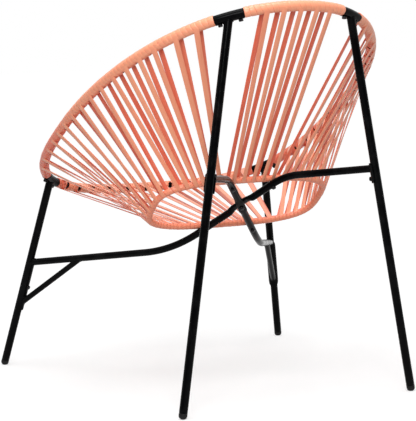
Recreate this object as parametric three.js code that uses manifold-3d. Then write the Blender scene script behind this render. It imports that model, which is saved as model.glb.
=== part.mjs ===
// A garden chair of the string type: a tilted steel hoop strung with flat plastic cord down to a small seat
// ring, on four straight tube legs that are tied by two bent cross braces.
// Millimetres, +Z up. The chair faces -Y, and the sitter's left hand is at +X.
import * as THREE from "three";
import { mergeVertices } from "three/addons/utils/BufferGeometryUtils.js";
import Module from "manifold-3d";

const wasm = await Module();
wasm.setup();

// Fits and faceting
const clearance = 0.3; // between pieces that touch
const overrun = 5; // how far a cutting tool runs past what it cuts
const hoopSides = 8;
const ringSides = 6;
const tubeSides = 12;
const saddleRoomSides = 16;
const braceSides = 10;
const boltSides = 8;
const hexSides = 6;
const rimStep = 32; // longest straight step round the hoop
const ringStep = 26;
const bendSteps = 5;
const domeSteps = 4;

// Hoop: an egg-shaped loop, wider and squarer in front, leaning back
const rimTubeRadius = 9.5;
const rimHalfWidth = 340;
const rimRearReach = 426;
const rimFrontReach = 359;
const rimWidestForward = 50;
const rimRearRoundness = 2.18; // 2 is an ellipse, more is squarer
const rimFrontRoundness = 3.04;
const rimMiddleHeight = 606;
const rimTilt = THREE.MathUtils.degToRad(28.4);
const rimBow = 6; // the tilted loop droops this much at its far ends

// Seat ring: a long rounded loop on the cross braces
const ringTubeRadius = 5.5;
const ringHalfWidth = 205;
const ringHalfDepth = 86;
const ringRoundness = 3.3;
const ringForward = 11; // its middle lies this far down the slope from the crossing
const seatTilt = THREE.MathUtils.degToRad(39);

// Cross braces: each runs from a front leg to the rear leg of the other side
const braceRadius = 8;
const crossingSetback = 143.6;
const crossingHeight = 401.2;
const braceSplay = THREE.MathUtils.degToRad(33.5);
const braceFrontBend = 166; // from the crossing down the slope to the front corner
const braceRearBend = 104;
const braceFrontEase = 76; // length of tube that each bend takes up on each side
const braceRearEase = 34;
const bracePadWidth = 19;
const bracePadMargin = 3;

// Legs, in floor places and places along the hoop
const legRadius = 9;
const rearFootSide = 272.8;
const rearFootBack = 400.6;
const frontFootSide = 372;
const frontFootForward = 400.6;
const rearSaddleArc = 149; // along the hoop from the middle of its back
const frontSaddleArc = 990.5;

// Saddles that carry the hoop on the legs
const saddleLength = 62;
const saddleThickness = 2;
const saddleHalfWrap = THREE.MathUtils.degToRad(98);
const saddleBoltSpacing = 44;

// Brackets that carry the braces on the legs. A joint is measured up the leg from the floor, and its bracket
// reaches down and up the leg from there
const bracketThickness = 3;
const bracketHalfWrap = THREE.MathUtils.degToRad(80);
const rearJointHeight = 492.5;
const rearBracketBelow = 31;
const rearBracketAbove = 12;
const frontJointHeight = 262.5;
const frontBracketBelow = 117.5;
const frontBracketAbove = 8.5;
const rearBracketBoltInset = 9;

// Struts between the foot of each front bracket and its brace
const strutRadius = 6.6;
const strutStartInset = 10;
const strutReach = 153; // along the brace from the leg

// Bolts and nut
const boltShankRadius = 2.5;
const boltHeadRadius = 5;
const boltHeadHeight = 3.6;
const boltBite = 6; // how far a shank goes into a tube
const nutRadius = 6;
const nutHeight = 4;

// Foot caps: domed plugs, as wide as the leg
const capHeight = 12; // from the floor to the leg's tube
const capDomeHeight = 8.2;
const capDomeTop = 7.2; // its widest place, above the floor
const capPlugRadius = 6.8;
const capPlugLength = 16;

// Cord: flat strip, strung in pairs
const cordWidth = 10.5;
const cordThickness = 1.6;
const cordSeat = 0.15; // a strand lies this much outside the turns that it comes from
const cordRingWidth = 7.2; // of a strand at the ring, where the strands lie close
const cordRimSplit = 5.5; // between the two strands of a pair, along the hoop
const cordRingSplit = 9.5;
const rearRingShare = 0.117; // of the ring's length, for each panel
const frontRingShare = 0.252;
const rearSectors = [5]; // pairs in each stretch of the panel
const sideSectors = [4, 3, 3, 3, 3];
const frontSectors = [3, 3, 3, 3];

// Places of the pairs in their panels, as shares of the panel's length on the hoop and on the ring. The side
// panels are strung by hand, a little unevenly
const rearRimShares = [0.194, 0.34, 0.5, 0.659, 0.815];
const rearRingShares = [0.1, 0.3, 0.5, 0.7, 0.9];
const sideRimShares = [
  0.047, 0.109, 0.179, 0.233, 0.287, 0.343, 0.402, 0.46,
  0.518, 0.578, 0.636, 0.691, 0.743, 0.798, 0.861, 0.921,
];
const sideRingShares = [
  0.03, 0.087, 0.146, 0.202, 0.262, 0.324, 0.43, 0.491,
  0.555, 0.616, 0.677, 0.737, 0.797, 0.857, 0.915, 0.97,
];
const frontShares = [0.042, 0.125, 0.209, 0.292, 0.375, 0.458, 0.542, 0.625, 0.708, 0.791, 0.875, 0.958];

// Finishes
const gloss = { color: 0x0b0b0c, roughness: 0.28, metalness: 0.35 };
const zinc = { color: 0x1b1b1d, roughness: 0.35, metalness: 0.6 };
const rubber = { color: 0x101011, roughness: 0.7, metalness: 0 };
const cord = { color: 0xe0876c, roughness: 0.5, metalness: 0 };

const vec = (x, y, z) => new THREE.Vector3(x, y, z);

// Solids and geometries
function toSolid(geometry) {
  const bare = geometry.clone();
  bare.deleteAttribute("normal");
  bare.deleteAttribute("uv");
  const merged = mergeVertices(bare);
  return new wasm.Manifold(
    new wasm.Mesh({
      numProp: 3,
      vertProperties: merged.attributes.position.array,
      triVerts: new Uint32Array(merged.index.array),
    }),
  );
}

function toGeometry(solid) {
  const mesh = solid.getMesh();
  const geometry = new THREE.BufferGeometry();
  geometry.setAttribute("position", new THREE.BufferAttribute(mesh.vertProperties, 3));
  geometry.setIndex(new THREE.BufferAttribute(mesh.triVerts, 1));
  const faceted = geometry.toNonIndexed();
  faceted.computeVertexNormals();
  return faceted;
}

const joined = (solids) => solids.reduce((whole, solid) => whole.add(solid));
const cutBy = (solid, tools) => tools.reduce((rest, tool) => rest.subtract(tool), solid);

// A loop in a tilted plane: half an oval behind its widest line and half an oval in front of it
class TiltedLoop extends THREE.Curve {
  constructor(place) {
    super();
    Object.assign(this, place);
    this.up = vec(0, -Math.sin(this.tilt), Math.cos(this.tilt));
    this.slope = vec(0, Math.cos(this.tilt), Math.sin(this.tilt));
    this.arcLengthDivisions = 2400;
  }

  getPoint(share, target = vec(0, 0, 0)) {
    const turn = share * 2 * Math.PI;
    const along = Math.cos(turn);
    const aside = Math.sin(turn);
    const behind = along >= 0;
    const power = 2 / (behind ? this.rearRoundness : this.frontRoundness);
    const reach = behind ? this.rearReach : this.frontReach;
    const depth = this.widest + Math.sign(along) * Math.abs(along) ** power * reach;
    const width = Math.sign(aside) * Math.abs(aside) ** power * this.halfWidth;
    const droop = this.bow * (depth / this.rearReach) ** 2;
    return target
      .copy(this.middle)
      .addScaledVector(this.slope, depth)
      .addScaledVector(this.up, -droop)
      .setX(this.middle.x + width);
  }

  // The place at a length along the loop, with its tangent, the way out of the loop and the way up
  station(arc) {
    const length = this.getLength();
    const share = THREE.MathUtils.euclideanModulo(arc / length, 1);
    const tangent = this.getTangentAt(share);
    const across = this.up.clone().cross(tangent).normalize();
    return { point: this.getPointAt(share), tangent, across, up: tangent.clone().cross(across) };
  }
}

// The straight steps that a loop is made in, with a corner at each of the given lengths along it
class Track {
  constructor(curve, arcs) {
    this.arcs = arcs;
    this.length = curve.getLength();
    this.stations = arcs.map((arc) => curve.station(arc));
  }

  // A place on the steps, with the directions of the loop there
  at(arc) {
    const home = THREE.MathUtils.euclideanModulo(arc - this.arcs[0], this.length) + this.arcs[0];
    const after = this.arcs.findIndex((mark) => mark > home);
    const next = after < 0 ? 0 : after;
    const last = after < 0 ? this.arcs.length - 1 : after - 1;
    const end = after < 0 ? this.arcs[0] + this.length : this.arcs[after];
    const share = (home - this.arcs[last]) / (end - this.arcs[last]);
    const mix = (key) => this.stations[last][key].clone().lerp(this.stations[next][key], share);
    const tangent = mix("tangent").normalize();
    const across = mix("up").cross(tangent).normalize();
    return { point: mix("point"), tangent, across, up: tangent.clone().cross(across) };
  }

  // The stations from one length to another, with its own ends
  between(start, end) {
    const turns = [-1, 0, 1].flatMap((turn) => this.arcs.map((mark) => mark + turn * this.length));
    const inner = turns.filter((mark) => mark > start + clearance && mark < end - clearance);
    return [start, ...inner, end].map((arc) => this.at(arc));
  }
}

// Even marks over one stretch of a loop, without its end
function marks({ start, end }, longest) {
  const count = Math.ceil((end - start) / longest);
  return Array.from({ length: count }, (_, i) => start + ((end - start) * i) / count);
}

// An outline carried through stations, closed on itself or capped. Each side is a row of quads, and the
// diagonals run the other way on the sides in turned
function sweep(stations, outline, loop = false, turned = []) {
  const sides = outline.length;
  const positions = stations.flatMap(({ point, across, up }) =>
    outline.flatMap(({ x, y }) => point.clone().addScaledVector(across, x).addScaledVector(up, y).toArray()),
  );
  const index = [];
  const rows = loop ? stations.length : stations.length - 1;
  for (let row = 0; row < rows; row += 1) {
    const near = row * sides;
    const far = ((row + 1) % stations.length) * sides;
    for (let side = 0; side < sides; side += 1) {
      const next = (side + 1) % sides;
      const [first, last] = turned.includes(side) ? [far + side, near + next] : [far + next, near + side];
      index.push(near + side, near + next, first);
      index.push(last, far + next, far + side);
    }
  }
  if (!loop) {
    const last = (stations.length - 1) * sides;
    for (const [a, b, c] of THREE.ShapeUtils.triangulateShape(outline, [])) {
      index.push(a, c, b);
      index.push(last + a, last + b, last + c);
    }
  }
  const geometry = new THREE.BufferGeometry();
  geometry.setAttribute("position", new THREE.Float32BufferAttribute(positions, 3));
  geometry.setIndex(index);
  return toSolid(geometry);
}

// A tube wall with a bore, through stations
function sleeve(stations, inner, outer, sides) {
  const last = stations.length - 1;
  const first = extended(stations[0], stations[1]);
  const final = extended(stations[last], stations[last - 1]);
  const bore = sweep([first, ...stations.slice(1, last), final], circle(inner, sides));
  return sweep(stations, circle(outer, sides)).subtract(bore);
}

// The end station of a sweep, moved on outwards so that a cut goes through
function extended(end, before) {
  const step = end.point.clone().sub(before.point).setLength(overrun);
  return { ...end, point: end.point.clone().add(step) };
}

function circle(radius, sides) {
  const corners = Array.from({ length: sides }, (_, i) => (i * 2 * Math.PI) / sides);
  return corners.map((turn) => new THREE.Vector2(radius * Math.cos(turn), radius * Math.sin(turn)));
}

// A band of a round wall about the direction middle, as a closed outline
function band(inner, outer, middle, halfWrap, sides) {
  const turns = Array.from({ length: sides + 1 }, (_, i) => middle + halfWrap * ((2 * i) / sides - 1));
  const at = (radius, turn) => new THREE.Vector2(radius * Math.cos(turn), radius * Math.sin(turn));
  return [...turns.map((turn) => at(outer, turn)), ...turns.reverse().map((turn) => at(inner, turn))];
}

// Turns a shape made along +Y so that it runs along a direction from a point
function aim(geometry, from, direction) {
  const turn = new THREE.Quaternion().setFromUnitVectors(vec(0, 1, 0), direction);
  return geometry.applyQuaternion(turn).translate(from.x, from.y, from.z);
}

function rod(from, to, radius, sides = tubeSides) {
  const span = to.clone().sub(from);
  const length = span.length();
  const blank = new THREE.CylinderGeometry(radius, radius, length, sides).translate(0, length / 2, 0);
  return toSolid(aim(blank, from, span.normalize()));
}

const rim = new TiltedLoop({
  middle: vec(0, 0, rimMiddleHeight),
  tilt: rimTilt,
  halfWidth: rimHalfWidth,
  widest: -rimWidestForward / Math.cos(rimTilt),
  rearReach: (rimRearReach + rimWidestForward) / Math.cos(rimTilt),
  frontReach: (rimFrontReach - rimWidestForward) / Math.cos(rimTilt),
  rearRoundness: rimRearRoundness,
  frontRoundness: rimFrontRoundness,
  bow: rimBow,
});
const rimLength = rim.getLength();

// Slope of the seat: the braces' crossing is its origin, and the ring lies on top of the braces
const seatUp = vec(0, -Math.sin(seatTilt), Math.cos(seatTilt));
const seatSlope = vec(0, Math.cos(seatTilt), Math.sin(seatTilt));
const crossing = vec(0, crossingSetback, crossingHeight);
const cordWrap = clearance + cordThickness;
const ringLift = ringTubeRadius + cordWrap + clearance + braceRadius;
const onSlope = (x, along, lift) =>
  crossing.clone().addScaledVector(seatSlope, along).addScaledVector(seatUp, lift).setX(x);

const ring = new TiltedLoop({
  middle: onSlope(0, -ringForward, ringLift),
  tilt: seatTilt,
  halfWidth: ringHalfWidth,
  widest: 0,
  rearReach: ringHalfDepth,
  frontReach: ringHalfDepth,
  rearRoundness: ringRoundness,
  frontRoundness: ringRoundness,
  bow: 0,
});
const ringLength = ring.getLength();

// Panels of cord between the saddles, each in stretches of a few pairs. In a pair one strand leaves the hoop
// on the bowl's inner face and one on its outer face, and firstLayer is 1 where the first is the inner one
const saddleHalf = saddleLength / 2;
const rearRing = (rearRingShare / 2) * ringLength;
const frontRing = (1 - frontRingShare / 2) * ringLength - ringLength / 2;
const sidePanel = {
  rimStart: rearSaddleArc + saddleHalf,
  rimEnd: frontSaddleArc - saddleHalf,
  rimShares: sideRimShares,
  ringShares: sideRingShares,
  sectors: sideSectors,
  firstLayer: 1,
  ringStart: rearRing,
  ringEnd: frontRing,
};
const fromOtherEnd = (shares) => shares.map((share) => 1 - share).reverse();
const panels = [
  {
    name: "rear",
    rimStart: -rearSaddleArc + saddleHalf,
    rimEnd: rearSaddleArc - saddleHalf,
    rimShares: rearRimShares,
    ringShares: rearRingShares,
    sectors: rearSectors,
    firstLayer: -1,
    ringStart: -rearRing,
    ringEnd: rearRing,
  },
  { name: "left", ...sidePanel },
  {
    name: "right",
    ...sidePanel,
    rimStart: -sidePanel.rimEnd,
    rimEnd: -sidePanel.rimStart,
    rimShares: fromOtherEnd(sideRimShares),
    ringShares: fromOtherEnd(sideRingShares),
    sectors: [...sideSectors].reverse(),
    firstLayer: -1,
    ringStart: -frontRing,
    ringEnd: -rearRing,
  },
  {
    name: "front",
    rimStart: frontSaddleArc + saddleHalf,
    rimEnd: rimLength - frontSaddleArc - saddleHalf,
    rimShares: frontShares,
    ringShares: frontShares,
    sectors: frontSectors,
    firstLayer: 1,
    ringStart: frontRing,
    ringEnd: ringLength - frontRing,
  },
];

// Each stretch of a panel is a few pairs, and meets the next one half way between two pairs
const stretches = panels.flatMap((panel) => {
  const middles = (start, end, shares) => shares.map((share) => start + (end - start) * share);
  const rimPlaces = middles(panel.rimStart, panel.rimEnd, panel.rimShares);
  const ringPlaces = middles(panel.ringStart, panel.ringEnd, panel.ringShares);
  return panel.sectors.map((count, sector) => {
    const first = panel.sectors.slice(0, sector).reduce((sum, pairs) => sum + pairs, 0);
    const last = first + count - 1;
    const edge = (places, pair, end) =>
      pair === 0 || pair === places.length ? end : (places[pair - 1] + places[pair]) / 2;
    const strands = Array.from({ length: 2 * count }, (_, i) => ({
      rimArc: rimPlaces[first + Math.floor(i / 2)] + ((i % 2) - 1 / 2) * cordRimSplit,
      ringArc: ringPlaces[first + Math.floor(i / 2)] + ((i % 2) - 1 / 2) * cordRingSplit,
      layer: i % 2 ? -panel.firstLayer : panel.firstLayer,
    }));
    return {
      name: panel.sectors.length > 1 ? `weave_${panel.name}_${sector + 1}` : `weave_${panel.name}`,
      rimStart: edge(rimPlaces, first, panel.rimStart),
      rimEnd: edge(rimPlaces, last + 1, panel.rimEnd),
      ringStart: edge(ringPlaces, first, panel.ringStart),
      ringEnd: edge(ringPlaces, last + 1, panel.ringEnd),
      strands,
    };
  });
});

// The hoop and the ring are stepped so that each stretch of cord and each saddle begins at a corner
const saddleStretches = [rearSaddleArc, frontSaddleArc, -rearSaddleArc, -frontSaddleArc].map((arc) => ({
  start: arc - saddleHalf,
  end: arc + saddleHalf,
}));
function trackOf(curve, pieces, longest) {
  const first = pieces[0].start;
  const length = curve.getLength();
  const inTurn = pieces
    .map(({ start, end }) => {
      const home = THREE.MathUtils.euclideanModulo(start - first, length) + first;
      return { start: home, end: home + end - start };
    })
    .sort((a, b) => a.start - b.start);
  return new Track(curve, inTurn.flatMap((piece) => marks(piece, longest)));
}
const rimPieces = stretches.map(({ rimStart, rimEnd }) => ({ start: rimStart, end: rimEnd }));
const rimTrack = trackOf(rim, [...rimPieces, ...saddleStretches], rimStep);
const ringPieces = stretches.map(({ ringStart, ringEnd }) => ({ start: ringStart, end: ringEnd }));
const ringTrack = trackOf(ring, ringPieces, ringStep);

const rimTube = (radius) => sweep(rimTrack.stations, circle(radius, hoopSides), true);
const ringTube = (radius) => sweep(ringTrack.stations, circle(radius, ringSides), true);

// Legs: from the floor to the middle of the hoop's tube
const corners = [
  { end: "rear", side: 1, arc: rearSaddleArc },
  { end: "rear", side: -1, arc: -rearSaddleArc },
  { end: "front", side: 1, arc: frontSaddleArc },
  { end: "front", side: -1, arc: -frontSaddleArc },
].map((corner) => {
  const rear = corner.end === "rear";
  const foot = rear
    ? vec(corner.side * rearFootSide, rearFootBack, 0)
    : vec(corner.side * frontFootSide, -frontFootForward, 0);
  const seat = rimTrack.at(corner.arc);
  const axis = seat.point.clone().sub(foot).normalize();
  const place = (height) => foot.clone().addScaledVector(axis, height);
  const jointHeight = rear ? rearJointHeight : frontJointHeight;
  return {
    ...corner,
    name: `${corner.end}_${corner.side > 0 ? "left" : "right"}`,
    foot,
    seat,
    axis,
    place,
    joint: place(jointHeight),
    bracketStart: jointHeight - (rear ? rearBracketBelow : frontBracketBelow),
    bracketEnd: jointHeight + (rear ? rearBracketAbove : frontBracketAbove),
  };
});
const cornerAt = (end, side) => corners.find((corner) => corner.end === end && corner.side === side);

const group = new THREE.Group();
const finishes = { gloss, zinc, rubber, cord };

function addPiece(name, solid, finish) {
  const mesh = new THREE.Mesh(toGeometry(solid), new THREE.MeshStandardMaterial(finishes[finish]));
  mesh.name = name;
  group.add(mesh);
}

// A bolt whose head's seat is at a point, with its shank along a direction
function boltSolid(seat, direction, shankLength) {
  const profile = [
    [0, -boltHeadHeight],
    [boltHeadRadius, -boltHeadHeight],
    [boltHeadRadius, 0],
    [boltShankRadius, 0],
    [boltShankRadius, shankLength],
    [0, shankLength],
  ].map(([x, y]) => new THREE.Vector2(x, y));
  return toSolid(aim(new THREE.LatheGeometry(profile, boltSides), seat, direction));
}

function boltHole(seat, direction, shankLength) {
  const from = seat.clone().addScaledVector(direction, -overrun);
  const to = seat.clone().addScaledVector(direction, shankLength + clearance);
  return rod(from, to, boltShankRadius + clearance, boltSides);
}

// Saddle bolts: their heads are under the saddle, square to the hoop on each side of the leg, and stand
// further out where the leg leans towards them
const saddleInner = rimTubeRadius + clearance;
const saddleOuter = saddleInner + saddleThickness;
const saddleSeat = saddleOuter + clearance;
function saddleBoltReach({ seat, axis }, hand) {
  const lean = -hand * axis.dot(seat.tangent);
  const square = Math.sqrt(1 - lean ** 2);
  const legReach = legRadius / square + ((saddleSeat + boltHeadHeight) * lean) / square;
  return Math.max(saddleBoltSpacing / 2, legReach + boltHeadRadius + clearance);
}
const saddleBolts = corners.flatMap((corner) =>
  [-1, 1].map((hand) => {
    const station = rimTrack.at(corner.arc + hand * saddleBoltReach(corner, hand));
    const inward = corner.axis.clone().projectOnPlane(station.tangent).normalize();
    const seat = station.point.clone().addScaledVector(inward, -saddleSeat);
    const shank = saddleSeat - rimTubeRadius + boltBite;
    return { corner, name: `${corner.name}_${hand > 0 ? "b" : "a"}`, seat, inward, shank };
  }),
);

// Cross braces: straight at both ends, with two eased bends and a straight middle on the seat's slope
function bracePath(side) {
  const front = cornerAt("front", side).joint;
  const rear = cornerAt("rear", -side).joint;
  const frontCorner = onSlope(side * braceFrontBend * Math.tan(braceSplay), -braceFrontBend, 0);
  const rearCorner = onSlope(-side * braceRearBend * Math.tan(braceSplay), braceRearBend, 0);
  const frontBend = bend(front, frontCorner, rearCorner, braceFrontEase);
  const rearBend = bend(frontCorner, rearCorner, rear, braceRearEase);
  const path = new THREE.CurvePath();
  path.add(new THREE.LineCurve3(front, frontBend.v0));
  path.add(frontBend);
  path.add(new THREE.LineCurve3(frontBend.v2, rearBend.v0));
  path.add(rearBend);
  path.add(new THREE.LineCurve3(rearBend.v2, rear));
  return { path, middle: rearCorner.clone().sub(frontCorner).normalize() };
}

// An eased corner that takes up a length of tube on each side
function bend(from, corner, to, ease) {
  const toward = (end) => corner.clone().addScaledVector(end.clone().sub(corner).normalize(), ease);
  return new THREE.QuadraticBezierCurve3(toward(from), corner, toward(to));
}

// A brace's tube: one step for each straight run, and even steps round its two bends
function tubeAlong({ curves }, radius) {
  const last = curves[curves.length - 1];
  const bends = curves.filter((curve) => curve.isQuadraticBezierCurve3);
  const places = bends.flatMap((curve) =>
    Array.from({ length: bendSteps + 1 }, (_, i) => ({ curve, share: i / bendSteps })),
  );
  const stations = [{ curve: curves[0], share: 0 }, ...places, { curve: last, share: 1 }].map(
    ({ curve, share }) => {
      const tangent = curve.getTangent(share);
      const across = seatUp.clone().cross(tangent).normalize();
      return { point: curve.getPoint(share), across, up: tangent.cross(across) };
    },
  );
  return sweep(stations, circle(radius, braceSides));
}

// The flat where a brace lies on the other: a plate on one side of the slope's plane
const crossAngle = 2 * braceSplay;
const padOverlap = bracePadWidth / Math.sin(crossAngle) + bracePadWidth / Math.tan(crossAngle);
const padLength = padOverlap + 2 * bracePadMargin;
function crossingBlock(middle, hand, length, width, from, to) {
  const blank = new THREE.BoxGeometry(width, length, to - from).translate(0, 0, (hand * (from + to)) / 2);
  const aside = middle.clone().cross(seatUp);
  const turn = new THREE.Matrix4().makeBasis(aside, middle, seatUp);
  return toSolid(blank.applyMatrix4(turn.setPosition(crossing)));
}

// Bolts that hold the ring on the braces, where a brace passes under the front or the rear bar of the ring
const ringBolts = [-1, 1].flatMap((side) =>
  [-1, 1].map((bar) => {
    const along = bar * ringHalfDepth - ringForward;
    const under = onSlope(-side * along * Math.tan(braceSplay), along, 0);
    const seat = under.clone().addScaledVector(seatUp, -braceRadius - clearance);
    const shank = clearance + braceRadius + ringLift - ringTubeRadius + boltBite;
    return { side, name: `${bar > 0 ? "rear" : "front"}_${side * bar < 0 ? "left" : "right"}`, seat, shank };
  }),
);

const centreHole = rod(
  crossing.clone().addScaledVector(seatUp, -braceRadius - overrun),
  crossing.clone().addScaledVector(seatUp, braceRadius + overrun),
  boltShankRadius + clearance,
  boltSides,
);

// Brackets and their bolts, on the side of the leg that the brace comes from
const bracketRoom = clearance + bracketThickness + clearance;
const bracketFits = corners.map((corner) => {
  const inward = crossing.clone().sub(corner.joint).projectOnPlane(corner.axis).normalize();
  const halfWay = corner.bracketStart + frontBracketBelow / 2;
  const boltHeight = corner.end === "rear" ? corner.bracketStart + rearBracketBoltInset : halfWay;
  const seat = corner.place(boltHeight).addScaledVector(inward, legRadius + bracketRoom);
  return { corner, inward, seat, direction: inward.clone().negate(), shank: bracketRoom + boltBite };
});

function bracketSolid({ corner, inward, seat, direction, shank }) {
  const start = corner.place(corner.bracketStart);
  const end = corner.place(corner.bracketEnd);
  const aside = corner.axis.clone().cross(inward);
  const stations = [start, end].map((point) => ({ point, across: inward, up: aside }));
  const inner = legRadius + clearance;
  const outline = band(inner, inner + bracketThickness, 0, bracketHalfWrap, tubeSides / 2);
  return sweep(stations, outline).subtract(boltHole(seat, direction, shank));
}

// Everything on a leg that a brace or strut end is shaped to: the bracket with its clearance
const legRoomRadius = (legRadius + bracketRoom) / Math.cos(Math.PI / tubeSides);
const legRoom = ({ foot, seat }) => rod(foot, seat.point, legRoomRadius);

// Half the outline of a cap's dome, from its lowest point to its widest place. The ground cuts it level
const capPlugTop = capHeight + capPlugLength;
const domeProfile = Array.from({ length: domeSteps + 1 }, (_, i) => {
  const angle = ((i / domeSteps) * Math.PI) / 2;
  return [legRadius * Math.sin(angle), capDomeTop - capDomeHeight * Math.cos(angle)];
});
const ground = toSolid(
  new THREE.BoxGeometry(rimLength, rimLength, rimLength).translate(0, 0, -rimLength / 2),
);

// Frame
addPiece(
  "rim_hoop",
  cutBy(
    rimTube(rimTubeRadius),
    saddleBolts.map(({ seat, inward, shank }) => boltHole(seat, inward, shank)),
  ),
  "gloss",
);
addPiece(
  "seat_ring",
  cutBy(
    ringTube(ringTubeRadius),
    ringBolts.map(({ seat, shank }) => boltHole(seat, seatUp, shank)),
  ),
  "gloss",
);

for (const corner of corners) {
  const { name, arc, seat, place, foot, axis } = corner;
  const reach = saddleLength / 2 - clearance;
  const saddleStations = rimTrack.between(arc - reach, arc + reach);
  const down = Math.atan2(-axis.dot(seat.up), -axis.dot(seat.across));
  const saddle = sweep(saddleStations, band(saddleInner, saddleOuter, down, saddleHalfWrap, hoopSides));
  const bolts = saddleBolts.filter((bolt) => bolt.corner === corner);
  const holes = bolts.map((bolt) => boltHole(bolt.seat, bolt.inward, bolt.shank));
  addPiece(`rim_saddle_${name}`, cutBy(saddle, holes), "gloss");

  const longer = rimTrack.between(arc - saddleLength, arc + saddleLength);
  const saddleRoom = sweep(longer, circle(saddleOuter + clearance, saddleRoomSides));
  const fit = bracketFits.find((bracket) => bracket.corner === corner);
  const leg = rod(place(capHeight + clearance), seat.point, legRadius);
  const bore = rod(place(capHeight - overrun), place(capPlugTop + clearance), capPlugRadius + clearance);
  const hole = boltHole(fit.seat, fit.direction, fit.shank);
  addPiece(`leg_${name}`, cutBy(leg, [saddleRoom, hole, bore]), "gloss");
  addPiece(`leg_bracket_${name}`, bracketSolid(fit), "gloss");

  const profile = [
    ...domeProfile,
    [legRadius, capHeight],
    [capPlugRadius, capHeight],
    [capPlugRadius, capPlugTop],
    [0, capPlugTop],
  ].map(([x, y]) => new THREE.Vector2(x, y));
  const cap = toSolid(aim(new THREE.LatheGeometry(profile, tubeSides), foot, axis));
  addPiece(`foot_cap_${name}`, cap.subtract(ground), "rubber");
}

for (const { name, seat, inward, shank } of saddleBolts) {
  addPiece(`rim_bolt_${name}`, boltSolid(seat, inward, shank), "zinc");
}
for (const { corner, seat, direction, shank } of bracketFits) {
  addPiece(`bracket_bolt_${corner.name}`, boltSolid(seat, direction, shank), "zinc");
}

// Braces, struts and their bolts
for (const side of [1, -1]) {
  const hand = side > 0 ? "left" : "right";
  const front = cornerAt("front", side);
  const rear = cornerAt("rear", -side);
  const { path, middle } = bracePath(side);
  const lap = clearance / 2;
  const wide = bracePadWidth + overrun;
  const halved = crossingBlock(middle, -side, padLength, wide, -lap, braceRadius + overrun);
  const pad = crossingBlock(middle, side, padLength + bracePadMargin, bracePadWidth, lap, braceRadius);
  const bolts = ringBolts.filter((bolt) => bolt.side === side);
  const cuts = [centreHole, ...bolts.map((bolt) => boltHole(bolt.seat, seatUp, bolt.shank))];
  const brace = tubeAlong(path, braceRadius).subtract(halved).add(pad);
  addPiece(`cross_brace_${hand}`, cutBy(brace, [...cuts, legRoom(front), legRoom(rear)]), "gloss");

  const away = path.getPointAt(strutReach / path.getLength());
  const root = front.place(front.bracketStart + strutStartInset);
  const strut = rod(root, away, strutRadius);
  const braceRoom = tubeAlong(path, braceRadius + clearance);
  addPiece(`brace_strut_${hand}`, cutBy(strut, [legRoom(front), braceRoom]), "gloss");
}
for (const { name, seat, shank } of ringBolts) {
  addPiece(`ring_bolt_${name}`, boltSolid(seat, seatUp, shank), "zinc");
}
const centreSeat = crossing.clone().addScaledVector(seatUp, -braceRadius - clearance);
const centreShank = 2 * (braceRadius + clearance) + nutHeight;
const nutPlace = crossing.clone().addScaledVector(seatUp, braceRadius + clearance);
const nutBlank = new THREE.CylinderGeometry(nutRadius, nutRadius, nutHeight, hexSides);
nutBlank.translate(0, nutHeight / 2, 0);
addPiece("centre_bolt", boltSolid(centreSeat, seatUp, centreShank), "zinc");
addPiece("centre_nut", toSolid(aim(nutBlank, nutPlace, seatUp)).subtract(centreHole), "zinc");

// Cord: one strand from the hoop to the ring, on the inner or the outer face of both. Opposite faces share
// the way of their diagonals, so that a twisted strand keeps its thickness
function strandSolid({ rimArc, ringArc, layer }) {
  const top = rimTrack.at(rimArc);
  const bottom = ringTrack.at(ringArc);
  const span = bottom.point.clone().sub(top.point);
  const ends = [
    { ...top, radius: rimTubeRadius, width: cordWidth },
    { ...bottom, radius: ringTubeRadius, width: cordRingWidth },
  ];
  const stations = ends.map(({ point, tangent, radius, width }) => {
    const inside = span.clone().cross(tangent).normalize();
    const lift = layer * (radius + clearance + cordSeat + cordThickness / 2);
    const middle = point.clone().addScaledVector(inside, lift);
    return { point: middle, across: tangent.clone().multiplyScalar(width), up: inside };
  });
  const half = cordThickness / 2;
  const corner = 1 / 2;
  const outline = [
    [-corner, -half],
    [corner, -half],
    [corner, half],
    [-corner, half],
  ].map(([x, y]) => new THREE.Vector2(x, y));
  const secondFaces = [2, 3];
  return sweep(stations, outline, false, secondFaces);
}

const ringBoltHoles = ringBolts.map(({ seat, shank }) => boltHole(seat, seatUp, shank));
const rimCore = rimTube(rimTubeRadius + clearance / 2);
const ringCore = ringTube(ringTubeRadius + clearance / 2);
for (const { name, rimStart, rimEnd, ringStart, ringEnd, strands } of stretches) {
  const lap = clearance / 2;
  const rimTurns = rimTrack.between(rimStart + lap, rimEnd - lap);
  const ringTurns = ringTrack.between(ringStart + lap, ringEnd - lap);
  const parts = [
    sleeve(rimTurns, rimTubeRadius + clearance, rimTubeRadius + cordWrap, hoopSides),
    sleeve(ringTurns, ringTubeRadius + clearance, ringTubeRadius + cordWrap, ringSides),
    ...strands.map((strand) => strandSolid(strand)),
  ];
  addPiece(name, cutBy(joined(parts), [rimCore, ringCore, ...ringBoltHoles]), "cord");
}

// The chair's own origin: on the floor, under the middle of its length
const chair = new THREE.Group();
const bounds = new THREE.Box3().setFromObject(group, true);
group.position.y = -(bounds.min.y + bounds.max.y) / 2;
chair.add(group);

export default chair;
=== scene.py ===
"""A string chair for patio and porch: a tilted steel hoop strung with flat plastic cord down to a small seat
ring, on four tube legs that two bent cross braces tie together. Metres, +Z up, the chair faces -Y."""

import logging
import math
from dataclasses import dataclass, field, replace
from enum import Enum
from typing import Callable

import bpy
import numpy as np
from mathutils import Matrix, Vector


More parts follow.
